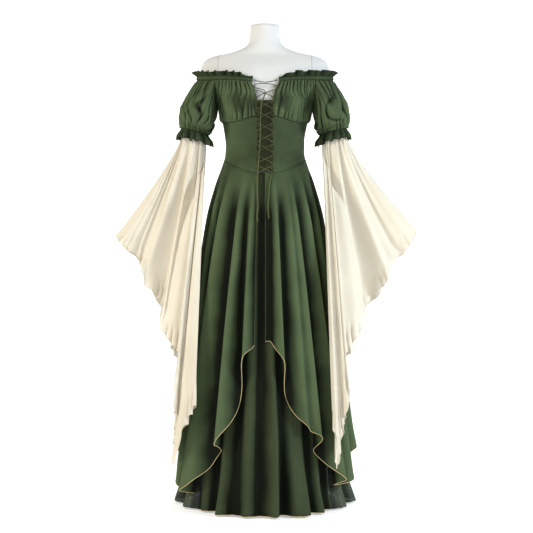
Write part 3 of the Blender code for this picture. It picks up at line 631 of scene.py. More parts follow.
def fabric(name, dark, light, thread, relief, roughness=(0.78, 0.92), sheen=0.06, alpha=1.0,
           patch=7.0, crepe=1400.0):
    """Woven cloth: two crossed sets of threads, a crinkled face, uneven colour, and painted shade in the
    folds' valleys with painted highlights on their ridges.
    """
    material, tree, shader = new_material(name)
    place = node(tree, "ShaderNodeTexCoord")
    warp = node(tree, "ShaderNodeTexWave", bands_direction="X", Scale=0.314 / thread,
                Distortion=1.2, Detail=1.0)
    weft = node(tree, "ShaderNodeTexWave", bands_direction="Y", Scale=0.314 / thread,
                Distortion=1.2, Detail=1.0)
    crinkle = node(tree, "ShaderNodeTexNoise", Scale=crepe, Detail=2.0)
    tree.links.new(place.outputs["UV"], warp.inputs["Vector"])
    tree.links.new(place.outputs["UV"], weft.inputs["Vector"])
    tree.links.new(place.outputs["Object"], crinkle.inputs["Vector"])
    weave = node(tree, "ShaderNodeMath", operation="MULTIPLY")
    tree.links.new(warp.outputs["Fac"], weave.inputs[0])
    tree.links.new(weft.outputs["Fac"], weave.inputs[1])
    face = node(tree, "ShaderNodeMath", operation="ADD")
    tree.links.new(weave.outputs[0], face.inputs[0])
    tree.links.new(crinkle.outputs["Fac"], face.inputs[1])
    bump_node = node(tree, "ShaderNodeBump", Strength=relief, Distance=thread * 0.5)
    tree.links.new(face.outputs[0], bump_node.inputs["Height"])
    tree.links.new(bump_node.outputs["Normal"], shader.inputs["Normal"])

    uneven = node(tree, "ShaderNodeTexNoise", Scale=patch, Detail=3.0)
    tree.links.new(place.outputs["Object"], uneven.inputs["Vector"])
    tone = node(tree, "ShaderNodeMath", operation="MULTIPLY_ADD")
    tree.links.new(face.outputs[0], tone.inputs[0])
    tone.inputs[1].default_value = 0.22
    tree.links.new(uneven.outputs["Fac"], tone.inputs[2])
    # Painted shade and highlight: the fold attribute darkens the folds' valleys towards the dark colour and
    # lightens their ridges towards the light one
    fold = node(tree, "ShaderNodeAttribute", attribute_name="fold")
    painted_fold_shading = node(tree, "ShaderNodeMath", operation="MULTIPLY_ADD")
    tree.links.new(fold.outputs["Fac"], painted_fold_shading.inputs[0])
    painted_fold_shading.inputs[1].default_value = 0.6
    tree.links.new(tone.outputs[0], painted_fold_shading.inputs[2])
    ramp = node(tree, "ShaderNodeValToRGB")
    ramp.color_ramp.elements[0].position = 0.22
    ramp.color_ramp.elements[0].color = (*dark, 1.0)
    ramp.color_ramp.elements[1].position = 1.0
    ramp.color_ramp.elements[1].color = (*light, 1.0)
    tree.links.new(painted_fold_shading.outputs[0], ramp.inputs["Fac"])
    tree.links.new(ramp.outputs["Color"], shader.inputs["Base Color"])

    dull = node(tree, "ShaderNodeMapRange")
    dull.inputs["To Min"].default_value = roughness[0]
    dull.inputs["To Max"].default_value = roughness[1]
    tree.links.new(uneven.outputs["Fac"], dull.inputs["Value"])
    tree.links.new(dull.outputs["Result"], shader.inputs["Roughness"])
    shader.inputs["Sheen Weight"].default_value = sheen
    shader.inputs["Sheen Roughness"].default_value = 0.45
    shader.inputs["Sheen Tint"].default_value = (*light, 1.0)
    shader.inputs["Specular IOR Level"].default_value = 0.12
    shader.inputs["Alpha"].default_value = alpha
    return material


def stand_paint():
    """Painted metal with a faint orange peel."""
    material, tree, shader = new_material("stand_paint")
    place = node(tree, "ShaderNodeTexCoord")
    peel = node(tree, "ShaderNodeTexNoise", Scale=420.0, Detail=2.0)
    tree.links.new(place.outputs["Object"], peel.inputs["Vector"])
    bump_node = node(tree, "ShaderNodeBump", Strength=0.12, Distance=0.0003)
    tree.links.new(peel.outputs["Fac"], bump_node.inputs["Height"])
    tree.links.new(bump_node.outputs["Normal"], shader.inputs["Normal"])
    ramp = node(tree, "ShaderNodeValToRGB")
    ramp.color_ramp.elements[0].color = (0.26, 0.26, 0.27, 1.0)
    ramp.color_ramp.elements[1].color = (0.36, 0.36, 0.37, 1.0)
    tree.links.new(peel.outputs["Fac"], ramp.inputs["Fac"])
    tree.links.new(ramp.outputs["Color"], shader.inputs["Base Color"])
    shader.inputs["Metallic"].default_value = 0.6
    shader.inputs["Roughness"].default_value = 0.38
    return material


GREEN = fabric("crepe_green", (0.003, 0.005, 0.002), (0.074, 0.105, 0.050), 0.0006, 0.35)
DEEP_GREEN = fabric("crepe_green_deep", (0.005, 0.009, 0.004), (0.050, 0.070, 0.034), 0.0006, 0.35)
SHEER = fabric("georgette_green", (0.010, 0.015, 0.009), (0.075, 0.092, 0.062), 0.0007, 0.25,
               alpha=0.80, sheen=0.06)
# Painted shade: a darker copy of the green crepe, for the underskirt that hangs in the overskirt's shadow
SHADED_GREEN = fabric("crepe_green_underskirt_painted_shade", (0.003, 0.005, 0.002), (0.040, 0.054, 0.026), 0.0006, 0.35)
OLIVE = fabric("panel_olive", (0.008, 0.010, 0.004), (0.040, 0.040, 0.018), 0.0006, 0.30)
CREAM = fabric("chiffon_cream", (0.60, 0.54, 0.43), (0.76, 0.71, 0.61), 0.0005, 0.20,
               roughness=(0.60, 0.75), alpha=0.90, sheen=0.20, patch=5.0)
CREAM_HEM = fabric("chiffon_cream_hem", (0.60, 0.52, 0.38), (0.72, 0.65, 0.52), 0.0005, 0.25)
GOLD = fabric("piping_gold", (0.42, 0.32, 0.13), (0.66, 0.54, 0.29), 0.0005, 0.40,
              roughness=(0.42, 0.60), sheen=0.10)
CORD_GREEN = fabric("cord_olive", (0.026, 0.034, 0.013), (0.105, 0.118, 0.052), 0.0005, 0.50)
JERSEY = fabric("jersey_white", (0.55, 0.55, 0.545), (0.64, 0.64, 0.635), 0.0005, 0.15,
                roughness=(0.70, 0.82), sheen=0.10)
SEAM_GREY = fabric("seam_grey", (0.22, 0.22, 0.22), (0.34, 0.34, 0.34), 0.0005, 0.30)
STAND = stand_paint()


# Making the pieces

def add_piece(name, data, material, nodes=()):
    data.materials.append(material)
    piece = bpy.data.objects.new(name, data)
    bpy.context.scene.collection.objects.link(piece)
    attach(piece, "root")
    if nodes:
        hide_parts(*nodes)
    return piece


def surface(name, rows, material, nodes=(), closed=False, wall=0.0, folds=None):
    """A piece of cloth through rows of points, its weave laid at real size along the rows.

    Folds holds a number for each point, from -1 in a valley to 1 on a ridge: kept as the fold attribute, it
    paints shade into the valleys and a highlight onto the ridges.
    """
    points = [point for row in rows for point in row]
    columns = len(rows[0])
    mesh = bpy.data.meshes.new(name)
    mesh.from_pydata([tuple(point) for point in points], [], loft_faces(len(rows), columns, closed))
    middle = rows[len(rows) // 2]
    width = sum((b - a).length for a, b in zip(middle, middle[1:])) / max(columns - 1, 1)
    centre = columns // 2
    length = sum((b[centre] - a[centre]).length for a, b in zip(rows, rows[1:])) / (len(rows) - 1)
    layer = mesh.uv_layers.new(name="weave")
    for face in mesh.polygons:
        corners = [mesh.loops[index].vertex_index for index in face.loop_indices]
        wraps = max(corner % columns for corner in corners) - min(corner % columns for corner in corners) > 1
        for index, corner in zip(face.loop_indices, corners):
            column = corner % columns
            if wraps and column == 0:
                column = columns
            layer.data[index].uv = (column * width, (corner // columns) * length)
    if folds:
        # The fold attribute: painted shade in the valleys and painted highlight on the ridges, read by the
        # cloth materials
        painted_fold_shading = mesh.attributes.new("fold", "FLOAT", "POINT")
        painted_fold_shading.data.foreach_set("value", [value for row in folds for value in row])
    mesh.shade_smooth()
    piece = add_piece(name, mesh, material, nodes)
    if wall:
        thick = piece.modifiers.new("Wall", "SOLIDIFY")
        thick.thickness = wall
        thick.offset = 0.0
    return piece


def tube(name, routes, diameter, material, nodes=(), cyclic=False):
    """Round cords along lists of points, in one piece."""
    curve = bpy.data.curves.new(name, "CURVE")
    curve.dimensions = "3D"
    curve.bevel_depth = diameter / 2
    curve.bevel_resolution = 2
    curve.use_fill_caps = True
    for route in routes:
        spline = curve.splines.new("POLY")
        spline.points.add(len(route) - 1)
        for place, point in zip(spline.points, route):
            place.co = (*point, 1.0)
        spline.use_smooth = True
        spline.use_cyclic_u = cyclic
    return add_piece(name, curve, material, nodes)


def ridge(place):
    """Gathered cloth across its folds: round ridges and narrow valleys, from 0 to 1."""
    return abs(math.sin(math.pi * place)) ** 0.8


def ripple(across, along, seed):
    """Even, repeatable unevenness from -1 to 1."""
    return noise.noise(Vector((across, along, seed))) * 1.6


# The dress form

FORM_FINE_COLUMNS = 96
SHOULDER_SEAM_X = 0.141


def build_form():
    heights = []
    for start, end in zip(FORM_SECTIONS, FORM_SECTIONS[1:]):
        heights += steps(start[0], end[0], 4)[:-1]
    heights.append(FORM_SECTIONS[-1][0])
    turns = [360 * index / FORM_FINE_COLUMNS for index in range(FORM_FINE_COLUMNS)]
    rows = [[section_point(FORM_SECTIONS, turn, height) for turn in turns] for height in heights]
    middle_low = Vector((0, 0, heights[0]))
    middle_high = Vector((0, 0, heights[-1]))
    rows = [[middle_low.lerp(point, 0.02) for point in rows[0]]] + rows
    rows.append([middle_high.lerp(point, 0.02) for point in rows[-1]])
    surface("form_body", rows, JERSEY, ["form_torso"], closed=True)

    top = FORM_SECTIONS[-1]
    low = top[0] + SEAM
    cap_rows = []
    for height, inset in ((low, 0.044), (low, 0.0), (low + NECK_CAP * 0.4, 0.0),
                          (low + NECK_CAP * 0.8, 0.0008),
                          (low + NECK_CAP, NECK_CAP_EDGE),
                          (low + NECK_CAP, 0.044)):
        ring = [section_point(FORM_SECTIONS, turn, top[0], -inset) for turn in turns]
        cap_rows.append([Vector((point.x, point.y, height)) for point in ring])
    surface("form_neck_lid", cap_rows, JERSEY, ["form_neck_cap"], closed=True)

    for word, side in (("left", -1), ("right", 1)):
        route = []
        for height in steps(1.306, 1.3655, 16):
            width = reading(FORM_SECTIONS, height, 1)
            share = SHOULDER_SEAM_X / width
            if share < 1:
                turn = side * math.degrees(math.asin(share))
                route.append(section_point(FORM_SECTIONS, turn, height, 0.0002))
        tube("form_shoulder_seam_" + word, [route], 0.0011, SEAM_GREY)

    for name in ("form_pole", "form_base"):
        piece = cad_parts[name]
        for held in piece.material_slots:
            held.material = STAND


# The bodice

FRONT_GATHERS = 12
BACK_GATHERS = 22
GATHER_DEPTH = 0.0105
CUP_X = 0.070
CUP_HEIGHT = 1.214
CUP_DEPTH = 0.009


def gathers_out(across, share, count, seed):
    """How far a panel that is gathered at its head and its foot stands out, as a share."""
    foot_reach = 0.24 + 0.14 * ripple(across * count * 0.55, 3.1, seed)
    head_reach = 0.34 + 0.20 * ripple(across * count * 0.55, 7.7, seed)
    foot_place = count * across + 0.55 * ripple(across * count * 0.5, share * 1.2, seed)
    head_place = count * 0.92 * across + 0.6 * ripple(across * count * 0.45, 9 + share * 1.2, seed)
    foot = (ridge(foot_place) - 0.35) * math.exp(-(share / max(foot_reach, 0.1)) ** 1.6)
    head = (ridge(head_place) - 0.35) * math.exp(-((1 - share) / max(head_reach, 0.1)) ** 1.6)
    soft = 0.18 * ripple(across * count * 0.35, share * 1.5, seed + 4)
    sewn = 0.35 + 0.65 * smooth(share / 0.05) * smooth((1 - share) / 0.05)
    sides = smooth(across / 0.03) * smooth((1 - across) / 0.05)
    return (foot + head + soft) * sewn * (0.25 + 0.75 * sides)


def bust_panel(name, turn_low, turn_high, count, seed):
    rows, folds = [], []
    for share in steps(0.0, 1.0, 64):
        row, fold_row = [], []
        for across in steps(0.0, 1.0, count * 10):
            low = seam_height(UNDERBUST_SEAM, panel_turn(turn_low, turn_high, BUST_FOOT, across))
            high = seam_height(NECKLINE, panel_turn(turn_low, turn_high, RING_HEIGHT, across))
            height = between(low + SEAM, high, share)
            turn = between(turn_low(height), turn_high(height), across)
            point = section_point(GOWN_SECTIONS, turn, height)
            cup = CUP_DEPTH * bump(abs(point.x), CUP_X, 0.034) * bump(height, CUP_HEIGHT, 0.034)
            if point.y > 0:
                cup = 0.0
            fold = gathers_out(across, share, count, seed)
            # Painted shade in the gathers' valleys and painted highlight on their ridges
            fold_row.append(max(-1.0, min(0.5, 2.2 * fold)))
            row.append(section_point(GOWN_SECTIONS, turn, height, GATHER_DEPTH * fold + cup + 0.0012))
        rows.append(row)
        folds.append(fold_row)
    return surface(name, rows, GREEN, [name.replace("gathered_", "")],
                   wall=0.0009, folds=folds)


def build_bust():
    def laced(height):
        return turn_at(laced_edge(height), height)

    def raglan(height):
        return raglan_turn(height) - seam_turn(height)

    left = bust_panel("gathered_bust_front_left", lambda height: -laced(height),
                      lambda height: -raglan(height), FRONT_GATHERS, 1.7)
    right = bust_panel("gathered_bust_front_right", laced, raglan, FRONT_GATHERS, 5.2)
    back = bust_panel("gathered_bust_back", lambda height: 180 - raglan(height),
                      lambda height: 180 + raglan(height), BACK_GATHERS, 8.9)


def midriff_panel(name, turn_low, turn_high, columns, seed):
    rows = []
    for share in steps(0.0, 1.0, 48):
        row = []
        for across in steps(0.0, 1.0, columns):
            foot_turn = panel_turn(turn_low, turn_high, MIDRIFF_FOOT, across)
            head_turn = panel_turn(turn_low, turn_high, BUST_FOOT, across)
            low = seam_height(WAIST_SEAM, foot_turn) - SEAM
            high = seam_height(UNDERBUST_SEAM, head_turn)
            height = between(low, high, share)
            turn = between(turn_low(height), turn_high(height), across)
            crease = 0.0010 * ripple(turn * 0.045, height * 38, seed) * bump(height, 1.085, 0.05)
            soft = 0.0008 * ripple(turn * 0.06, height * 12, seed + 2)
            row.append(section_point(GOWN_SECTIONS, turn, height, crease + soft))
        rows.append(row)
    return surface(name, rows, GREEN, [name.replace("fitted_", "")], wall=0.0009)


def build_midriff():
    def laced(height):
        return turn_at(PLACKET_X, height)

    def side(height):
        return 90 - seam_turn(height)

    left = midriff_panel("fitted_midriff_front_left", lambda height: -laced(height),
                         lambda height: -side(height), 70, 2.3)
    right = midriff_panel("fitted_midriff_front_right", laced, side, 70, 6.1)
    back = midriff_panel("fitted_midriff_back", lambda height: 180 - side(height),
                         lambda height: 180 + side(height), 120, 9.4)

    reach = PLACKET_X + MODESTY_MARGIN
    rows = []
    for height in steps(MODESTY_FOOT, GAP_CLOSES, 60):
        row = []
        for x in steps(-reach, reach, 24):
            crease = 0.0009 * ripple(x * 60, height * 45, 4.4)
            row.append(front_point(x, height, crease - CLOTH - 4 * SEAM))
        rows.append(row)
    panel = surface("creased_modesty_panel", rows, OLIVE, ["modesty_panel"], wall=0.0009)


# The neckline

NECK_GATHERS = 118
NECK_WAVES = 46


def neckline_turns(count):
    return steps(NECK_OPEN_RIGHT, 360 + NECK_OPEN_LEFT, count)


def build_neckline():
    rows = []
    columns = NECK_GATHERS * 7
    for share in steps(0.0, 1.0, 8):
        row = []
        for column, turn in enumerate(neckline_turns(columns)):
            place = column / 7 + 0.5 * ripple(column * 0.06, 2.2, 3.0)
            out = 0.0022 * (ridge(place) - 0.3) + 0.0012 * math.sin(math.pi * share)
            row.append(neckline_point(turn, between(CASING_LOW, CASING_TOP, share), out + 0.0012))
        rows.append(row)
    casing = surface("gathered_casing", rows, GREEN, ["neck_casing"], wall=0.0009)

    rows, folds = [], []
    columns = NECK_WAVES * 14
    for share in steps(0.0, 1.0, 14):
        row, fold_row = [], []
        for column, turn in enumerate(neckline_turns(columns)):
            end = smooth(min(column, columns - column) / 30)
            phase = 2 * math.pi * (column / 18 + 0.5 * ripple(column * 0.035, 1.5, 6.0))
            swell = 1 + 0.45 * ripple(column * 0.05, 4.0, 2.0)
            wave = share ** 0.8 * swell
            out = share * FRILL_FLARE * 0.8 + 0.0085 * wave * math.sin(phase)
            swing = 1.15 * wave * math.sin(2 * phase) * end
            curl = 0.0030 * share ** 2 * math.cos(phase + 0.8)
            rise = share * FRILL_HEIGHT * (0.72 + 0.10 * swell) * (0.35 + 0.65 * end) + curl
            row.append(neckline_point(turn + swing, CASING_TOP + rise, out * (0.3 + 0.7 * end) + 0.001))
            # Painted shade and highlight across the frill's waves, darker overall
            fold_row.append(0.7 * math.sin(phase) * share ** 0.5 - 0.25)
        rows.append(row)
        folds.append(fold_row)
    frill = surface("ruffled_neck_frill", rows, DEEP_GREEN, ["neck_frill"],
                    wall=0.0008, folds=folds)


# The puff sleeves

PUFF_FINE_COLUMNS = 276
PUFF_GATHERS = 23
PUFF_GATHER_DEPTH = 0.0085


def closed_reading(loop, place):
    """A place along a closed loop of points, counted in its points, on one smooth curve."""
    count = len(loop)
    index = int(math.floor(place)) % count
    share = place - math.floor(place)
    before, start = loop[index - 1], loop[index]
    end, after = loop[(index + 1) % count], loop[(index + 2) % count]
    square, cube = share ** 2, share ** 3
    return (before * (-cube + 2 * square - share) + start * (3 * cube - 5 * square + 2)
            + end * (-3 * cube + 4 * square + share) + after * (cube - square)) * 0.5


def puff_out(around, share, seed):
    """How far a puff's gathers and long folds stand out, as a share."""
    count = PUFF_GATHERS
    lean = 0.9 * share * math.sin(2 * math.pi * around + seed)
    head_place = count * around + lean + 0.7 * ripple(around * 12, share * 1.4, seed)
    foot_place = count * around + lean + 0.7 * ripple(around * 13, 5 + share * 1.4, seed + 3)
    head_reach = 0.42 + 0.22 * ripple(around * 16, 2.0, seed)
    foot_reach = 0.30 + 0.16 * ripple(around * 16, 6.0, seed)
    head = (ridge(head_place) - 0.4) * math.exp(-(share / head_reach) ** 1.5)
    foot = (ridge(foot_place) - 0.4) * math.exp(-((1 - share) / foot_reach) ** 1.5)
    long_fold = 1.25 * (ridge(11 * around + lean + 0.8 * ripple(around * 6, share * 2.5, seed + 5)) - 0.5)
    crumple = 0.22 * ripple(around * 20, share * 5.0, seed + 7)
    middle = bump(share, 0.55, 0.32)
    return head + foot + (long_fold + crumple) * middle


def build_puff(word, side, from_centre, seed):
    armhole = armhole_loop(side)
    count = len(armhole)
    rows, folds = [], []
    for share in steps(0.0, 1.0, 54):
        row, fold_row = [], []
        for column in range(PUFF_FINE_COLUMNS):
            place = column / PUFF_FINE_COLUMNS * count
            around = ((place - SHOULDER_COLUMNS / 2) / count) % 1.0
            angle = 2 * math.pi * around
            start = closed_reading(armhole, place)
            end = cuff_point(side, from_centre, around, CUFF_RADIUS, CUFF_HEIGHT + CUFF_BAND)
            full = Vector((side * (PUFF_FROM_CENTRE + PUFF_FULL_X * math.cos(angle)),
                           PUFF_FULL_Y * math.sin(angle),
                           PUFF_FULL_HEIGHT + PUFF_FULL_LEAN * math.cos(angle)))
            point = start * (1 - share) ** 2 + full * 2 * share * (1 - share) + end * share ** 2
            axis = Vector((side * between(SHOULDER_X, from_centre, share), 0.0, point.z))
            away = (point - axis).normalized()
            sewn = 0.3 + 0.7 * smooth(share / 0.05)
            fold = puff_out(around, share, seed) * sewn
            # Painted shade in the gathers' valleys and painted highlight on their ridges, darker overall
            fold_row.append(max(-0.9, min(0.4, 1.5 * fold - 0.1)))
            point += away * (PUFF_GATHER_DEPTH * fold + 0.0015)
            if 0.0 < share < 1.0:
                point = clear_of_body(point, PUFF_CLEAR * (1 + 3 * bump(share, 0.5, 0.3)))
            row.append(point)
        rows.append(row)
        folds.append(fold_row)
    last = rows[-1]
    for share in steps(0.0, 1.0, 4)[1:]:
        rows.append([Vector((point.x, point.y, point.z - share * CUFF_BAND)) for point in last])
        folds.append(folds[-1])
    name = "puff_sleeve_" + word
    piece = surface("full_" + name, rows, GREEN, [name], closed=True, wall=0.0009,
                    folds=folds)


CUFF_WAVES = 17


def build_cuff_frill(word, side, from_centre, seed):
    columns = CUFF_WAVES * 14
    rows, folds = [], []
    for share in steps(0.0, 1.0, 14):
        row, fold_row = [], []
        for column in range(columns):
            uneven = ripple(math.cos(2 * math.pi * column / columns) * 2.2,
                            math.sin(2 * math.pi * column / columns) * 2.2, seed)
            phase = 2 * math.pi * column / 18 + 1.6 * uneven
            swell = 1 + 0.4 * uneven
            flare = CUFF_FRILL_FLARE * smooth(share * 1.4)
            radius = CUFF_RADIUS + 0.0012 + flare + 0.0062 * share ** 0.8 * swell * math.sin(phase)
            swing = 0.010 * share * math.sin(2 * phase)
            height = CUFF_HEIGHT - share * CUFF_FRILL_DROP * (0.80 + 0.14 * swell)
            height += 0.0035 * share ** 2 * math.cos(phase + 0.7)
            row.append(cuff_point(side, from_centre, column / columns + swing, radius, height))
            # Painted shade and highlight across the frill's waves, darker overall
            fold_row.append(0.7 * math.sin(phase) * share ** 0.5 - 0.2)
        rows.append(row)
        folds.append(fold_row)
    name = "cuff_frill_" + word
    piece = surface("ruffled_" + name, rows, DEEP_GREEN, [name], closed=True,
                    wall=0.0008, folds=folds)


# The bell sleeves

BELL_FINE_COLUMNS = 420
BELL_PLEATS = 7
BELL_PLEAT_DEPTH = 0.0045
BELL_RUFFLES = 19
BELL_RUFFLE_DEPTH = 0.0065


def bell_point(side, from_centre, hem, around, share, seed):
    front = around <= 0.5
    along = 2 * around if front else 2 * (1 - around)
    angle = math.pi * along
    radius = BELL_TOP_RADIUS + BELL_TOP_FLARE * smooth(1 - share / 0.05)
    top = CUFF_HEIGHT + CUFF_SLANT * math.cos(angle) - BELL_TOP_DROP
    ring = Vector((from_centre + radius * math.cos(angle), 0.0, top))
    layer = math.sin(angle) ** 0.6 if 0 < along < 1 else 0.0
    uneven = 0.012 * ripple(along * 15, 1.0 if front else 2.0, seed) * (0.2 + 0.8 * layer)
    end = Vector((reading(hem, along, 1), 0.0, reading(hem, along, 2) + uneven))
    phase = 0.4 if front else 2.1
    wave = math.sin(2 * math.pi * BELL_WAVES * along + phase) * layer * share
    fall = ring - Vector((0, 0, BELL_FALL))
    point = ring * (1 - share) ** 2 + fall * 2 * share * (1 - share) + end * share ** 2
    forward = skirt_front(point.x, point.z) * smooth(share * 3.2)
    lean = BELL_LEAN * smooth(along * 3) * smooth((1 - along) * 2.2) * (1 if front else -0.6)
    point.x += lean * BELL_WAVE_DEPTH * wave
    half = between(radius, BELL_DEPTH, smooth(share * 2))
    if share < 0.1:
        layer = math.sin(angle)
    offset = half * layer + BELL_WAVE_DEPTH * wave
    face = 1.0 if front else 4.0
    pleat_place = BELL_PLEATS * along + 1.3 * ripple(along * 5, share * 0.8, seed + face)
    grown = smooth(share / 0.12) * (0.35 + 0.65 * share) * (0.25 + 0.75 * layer)
    offset += BELL_PLEAT_DEPTH * math.sin(2 * math.pi * pleat_place) * grown
    hem_share = smooth((share - 0.93) / 0.07)
    ruffle = 2 * math.pi * (BELL_RUFFLES * along + 1.4 * ripple(along * 9, 3.0, seed + face))
    offset += BELL_RUFFLE_DEPTH * math.sin(ruffle) * hem_share * (0.3 + 0.7 * layer)
    point.x += 0.0045 * math.cos(ruffle) * hem_share
    point.z += 0.0045 * math.sin(ruffle + 0.6) * hem_share
    return Vector((side * point.x, -forward + (-offset if front else offset), point.z))


def build_bell(word, side, from_centre, hem, seed):
    rows = [[bell_point(side, from_centre, hem, column / BELL_FINE_COLUMNS, share, seed)
             for column in range(BELL_FINE_COLUMNS)]
            for share in steps(0.0, 1.0, 96)]
    name = "bell_sleeve_" + word
    piece = surface("flowing_" + name, rows, CREAM, [name], closed=True)
    roll = tube("rolled_hem_" + word, [rows[-1]], 0.0013, CREAM_HEM, cyclic=True)


# The skirts

def fine_turns(folds, each):
    turns = [folds[0][0]]
    for start, end in zip(folds, folds[1:]):
        turns += steps(start[0], end[0], each)[1:]
    return turns


def fold_shade(folds, turn, drop):
    """How far a place lies on a ridge, at 1, or in a valley, at -1, once the folds have grown."""
    outs = [row[1] for row in folds]
    near = [row[1] for row in folds if abs(row[0] - turn) < 14]
    low, high = min(near or outs), max(near or outs)
    share = (fold_reading(folds, turn) - low) / max(high - low, 0.004)
    # Biased towards shade: most of each fold is painted dark and only its crest is painted light
    return max(-1.0, 2.1 * min(share, 1.0) - 1.35) * smooth(drop / 0.20)


def build_underskirt(name, folds, material, slot, seed):
    seam_gap = 0.06
    turns = fine_turns(folds, 14)
    turns[0] += seam_gap
    turns[-1] -= seam_gap
    rows, shades = [], []
    for share in steps(0.0, 1.0, 88):
        row, shade_row = [], []
        for turn in turns:
            seam = seam_height(WAIST_SEAM, turn) - SEAM
            height = between(seam, HEM_HEIGHT, share)
            # Painted shade in the folds' valleys and painted highlight on their ridges, darker overall
            shade_row.append(fold_shade(folds, turn, seam - height) - 0.15)
            point = underskirt_point(turn, height, fold_reading(folds, turn), seam)
            flutter = 0.0030 * ripple(turn * 0.14, height * 2.0, seed) * smooth(share * 1.4)
            edge = 0.0025 * math.sin(turn * 1.05 + seed) * smooth((share - 0.93) / 0.07)
            away = Vector((point.x, point.y, 0)).normalized()
            row.append(point + away * (flutter + edge))
        rows.append(row)
        shades.append(shade_row)
    made = "falling_" + name
    piece = surface(made, rows, material, [name], wall=0.0008, folds=shades)
    roll = tube("rolled_hem_" + name, [rows[-1]], 0.0016,
                GOLD if slot == "green_crepe" else DEEP_GREEN)


def build_overskirt(word, side, folds, hem, seed):
    rows, shades = [], []
    turns = fine_turns(folds, 12)
    for share in steps(0.0, 1.0, 100):
        row, shade_row = [], []
        for turn in turns:
            seam = seam_height(WAIST_SEAM, turn) - SEAM
            height = between(seam, reading(hem, turn), share)
            # Painted shade in the folds' valleys and painted highlight on their ridges
            shade_row.append(fold_shade(folds, turn, seam - height))
            point = overskirt_point(side, folds, turn, height, seam)
            flutter = 0.0024 * ripple(turn * 0.13, height * 2.4, seed) * smooth(share * 1.5)
            edge = 0.0030 * math.sin(turn * 0.95 + seed) * smooth((share - 0.92) / 0.08)
            away = Vector((point.x, point.y, 0)).normalized()
            deeper = 0.009 * fold_shade(folds, turn, seam - height) * fold_growth(seam - height)
            row.append(point + away * (flutter + edge + max(deeper, -0.001) + 0.0004))
        rows.append(row)
        shades.append(shade_row)
    name = "overskirt_" + word
    piece = surface("draped_" + name, rows, GREEN, [name], wall=0.0009, folds=shades)
    piping = tube("gold_piping_" + word, [rows[-1]], 0.0017, GOLD)
    edge_roll = tube("front_edge_" + word, [[row[0] for row in rows]], 0.0013, CORD_GREEN)


# The laces

def build_laces():
    on_cloth = CLOTH / 2 + CORD / 2 + LACE_CLEAR
    spacing = (LACE_TOP - LACE_BOTTOM) / LACE_CROSSINGS
    for name, start_side, lift in (("front_lace_a", -1, 0.0), ("front_lace_b", 1, CORD + 2 * SEAM)):
        route = []
        for crossing in range(LACE_CROSSINGS + 1):
            height = LACE_TOP - crossing * spacing
            side = start_side if crossing % 2 == 0 else -start_side
            edge = side * (laced_edge(height) + 0.0025)
            for rise in (EYELET_TURN, -EYELET_TURN):
                route.append(front_point(edge, height + rise, on_cloth))
            if crossing < LACE_CROSSINGS:
                sag = 0.0015 * math.sin(crossing * 2.3)
                route.append(front_point(0.0, height - spacing / 2 - sag, on_cloth + lift))
        tube("threaded_" + name, [smooth_route(route, 220)], CORD, CORD_GREEN, [name])

    for word, side in (("left", -1), ("right", 1)):
        loops = []
        for index in range(2 * LACE_CROSSINGS + 1):
            height = LACE_TOP + 0.004 - index * spacing / 2
            edge = laced_edge(height)
            reach = 0.0065 + 0.0015 * math.sin(index * 1.9)
            loop = []
            for angle in steps(-0.5 * math.pi, 0.5 * math.pi, 10):
                x = side * (edge + 0.0015 - reach * math.cos(angle))
                drop = 0.0042 * math.sin(angle) - 0.0012 * math.cos(angle)
                loop.append(front_point(x, height + drop, 0.0022 + 0.0012 * math.cos(angle)))
            loops.append(loop)
        tube("lace_loops_" + word, loops, 0.0017, CORD_GREEN)

    middle = (CASING_LOW + CASING_TOP) / 2
    sag = (
        # share, down
        (0.0, 0.0),
        (0.25, 0.0030),
        (0.5, 0.0042),
        (0.75, 0.0030),
        (1.0, 0.0),
    )
    route = []
    for share in steps(0.0, 1.0, 40):
        turn = between(NECK_OPEN_LEFT + 0.4, NECK_OPEN_RIGHT - 0.4, share)
        forward = 0.0055 * math.sin(math.pi * share)
        route.append(neckline_point(turn, middle - reading(sag, share), forward))
    tube("slack_neck_drawstring", [route], CORD * 0.9, CORD_GREEN, ["neck_drawstring"])
    bow = [front_point(x, height, out) for x, height, out in BOW_ROUTE]
    tube("tied_neck_bow", [smooth_route(bow, 80)], CORD, CORD_GREEN, ["neck_bow"])

    for word, route, points in (("long", LONG_END_ROUTE, 28), ("short", SHORT_END_ROUTE, 12)):
        hung = smooth_route([front_point(x, height, out) for x, height, out in route], points)
        name = "lace_end_" + word
        piece = tube("hanging_" + name, [hung], TIE, CORD_GREEN, [name])
        length = sum((end - start).length for start, end in zip(hung, hung[1:]))
        print("length of", name, round(length, 4))


# The studio

CAMERA_X = 0.0046
CAMERA_DISTANCE = 4.0
CAMERA_HEIGHT = 0.723
HALF_VIEW = 0.813          # half the frame's width where the gown stands


def build_camera():
    camera = bpy.data.cameras.new("camera")
    camera.sensor_fit = "HORIZONTAL"
    camera.angle = 2 * math.atan(HALF_VIEW / CAMERA_DISTANCE)
    holder = bpy.data.objects.new("camera", camera)
    holder.location = (CAMERA_X, -CAMERA_DISTANCE, CAMERA_HEIGHT)
    holder.rotation_euler = (math.radians(90), 0, 0)
    bpy.context.scene.collection.objects.link(holder)
    bpy.context.scene.camera = holder


def build_light(name, place, size, power, colour):
    light = bpy.data.lights.new(name, "AREA")
    light.shape = "DISK"
    light.size = size
    light.energy = power
    light.color = colour
    holder = bpy.data.objects.new(name, light)
    holder.location = place
    aim = Vector((0, 0, 0.75)) - Vector(place)
    holder.rotation_euler = aim.to_track_quat("-Z", "Y").to_euler()
    bpy.context.scene.collection.objects.link(holder)


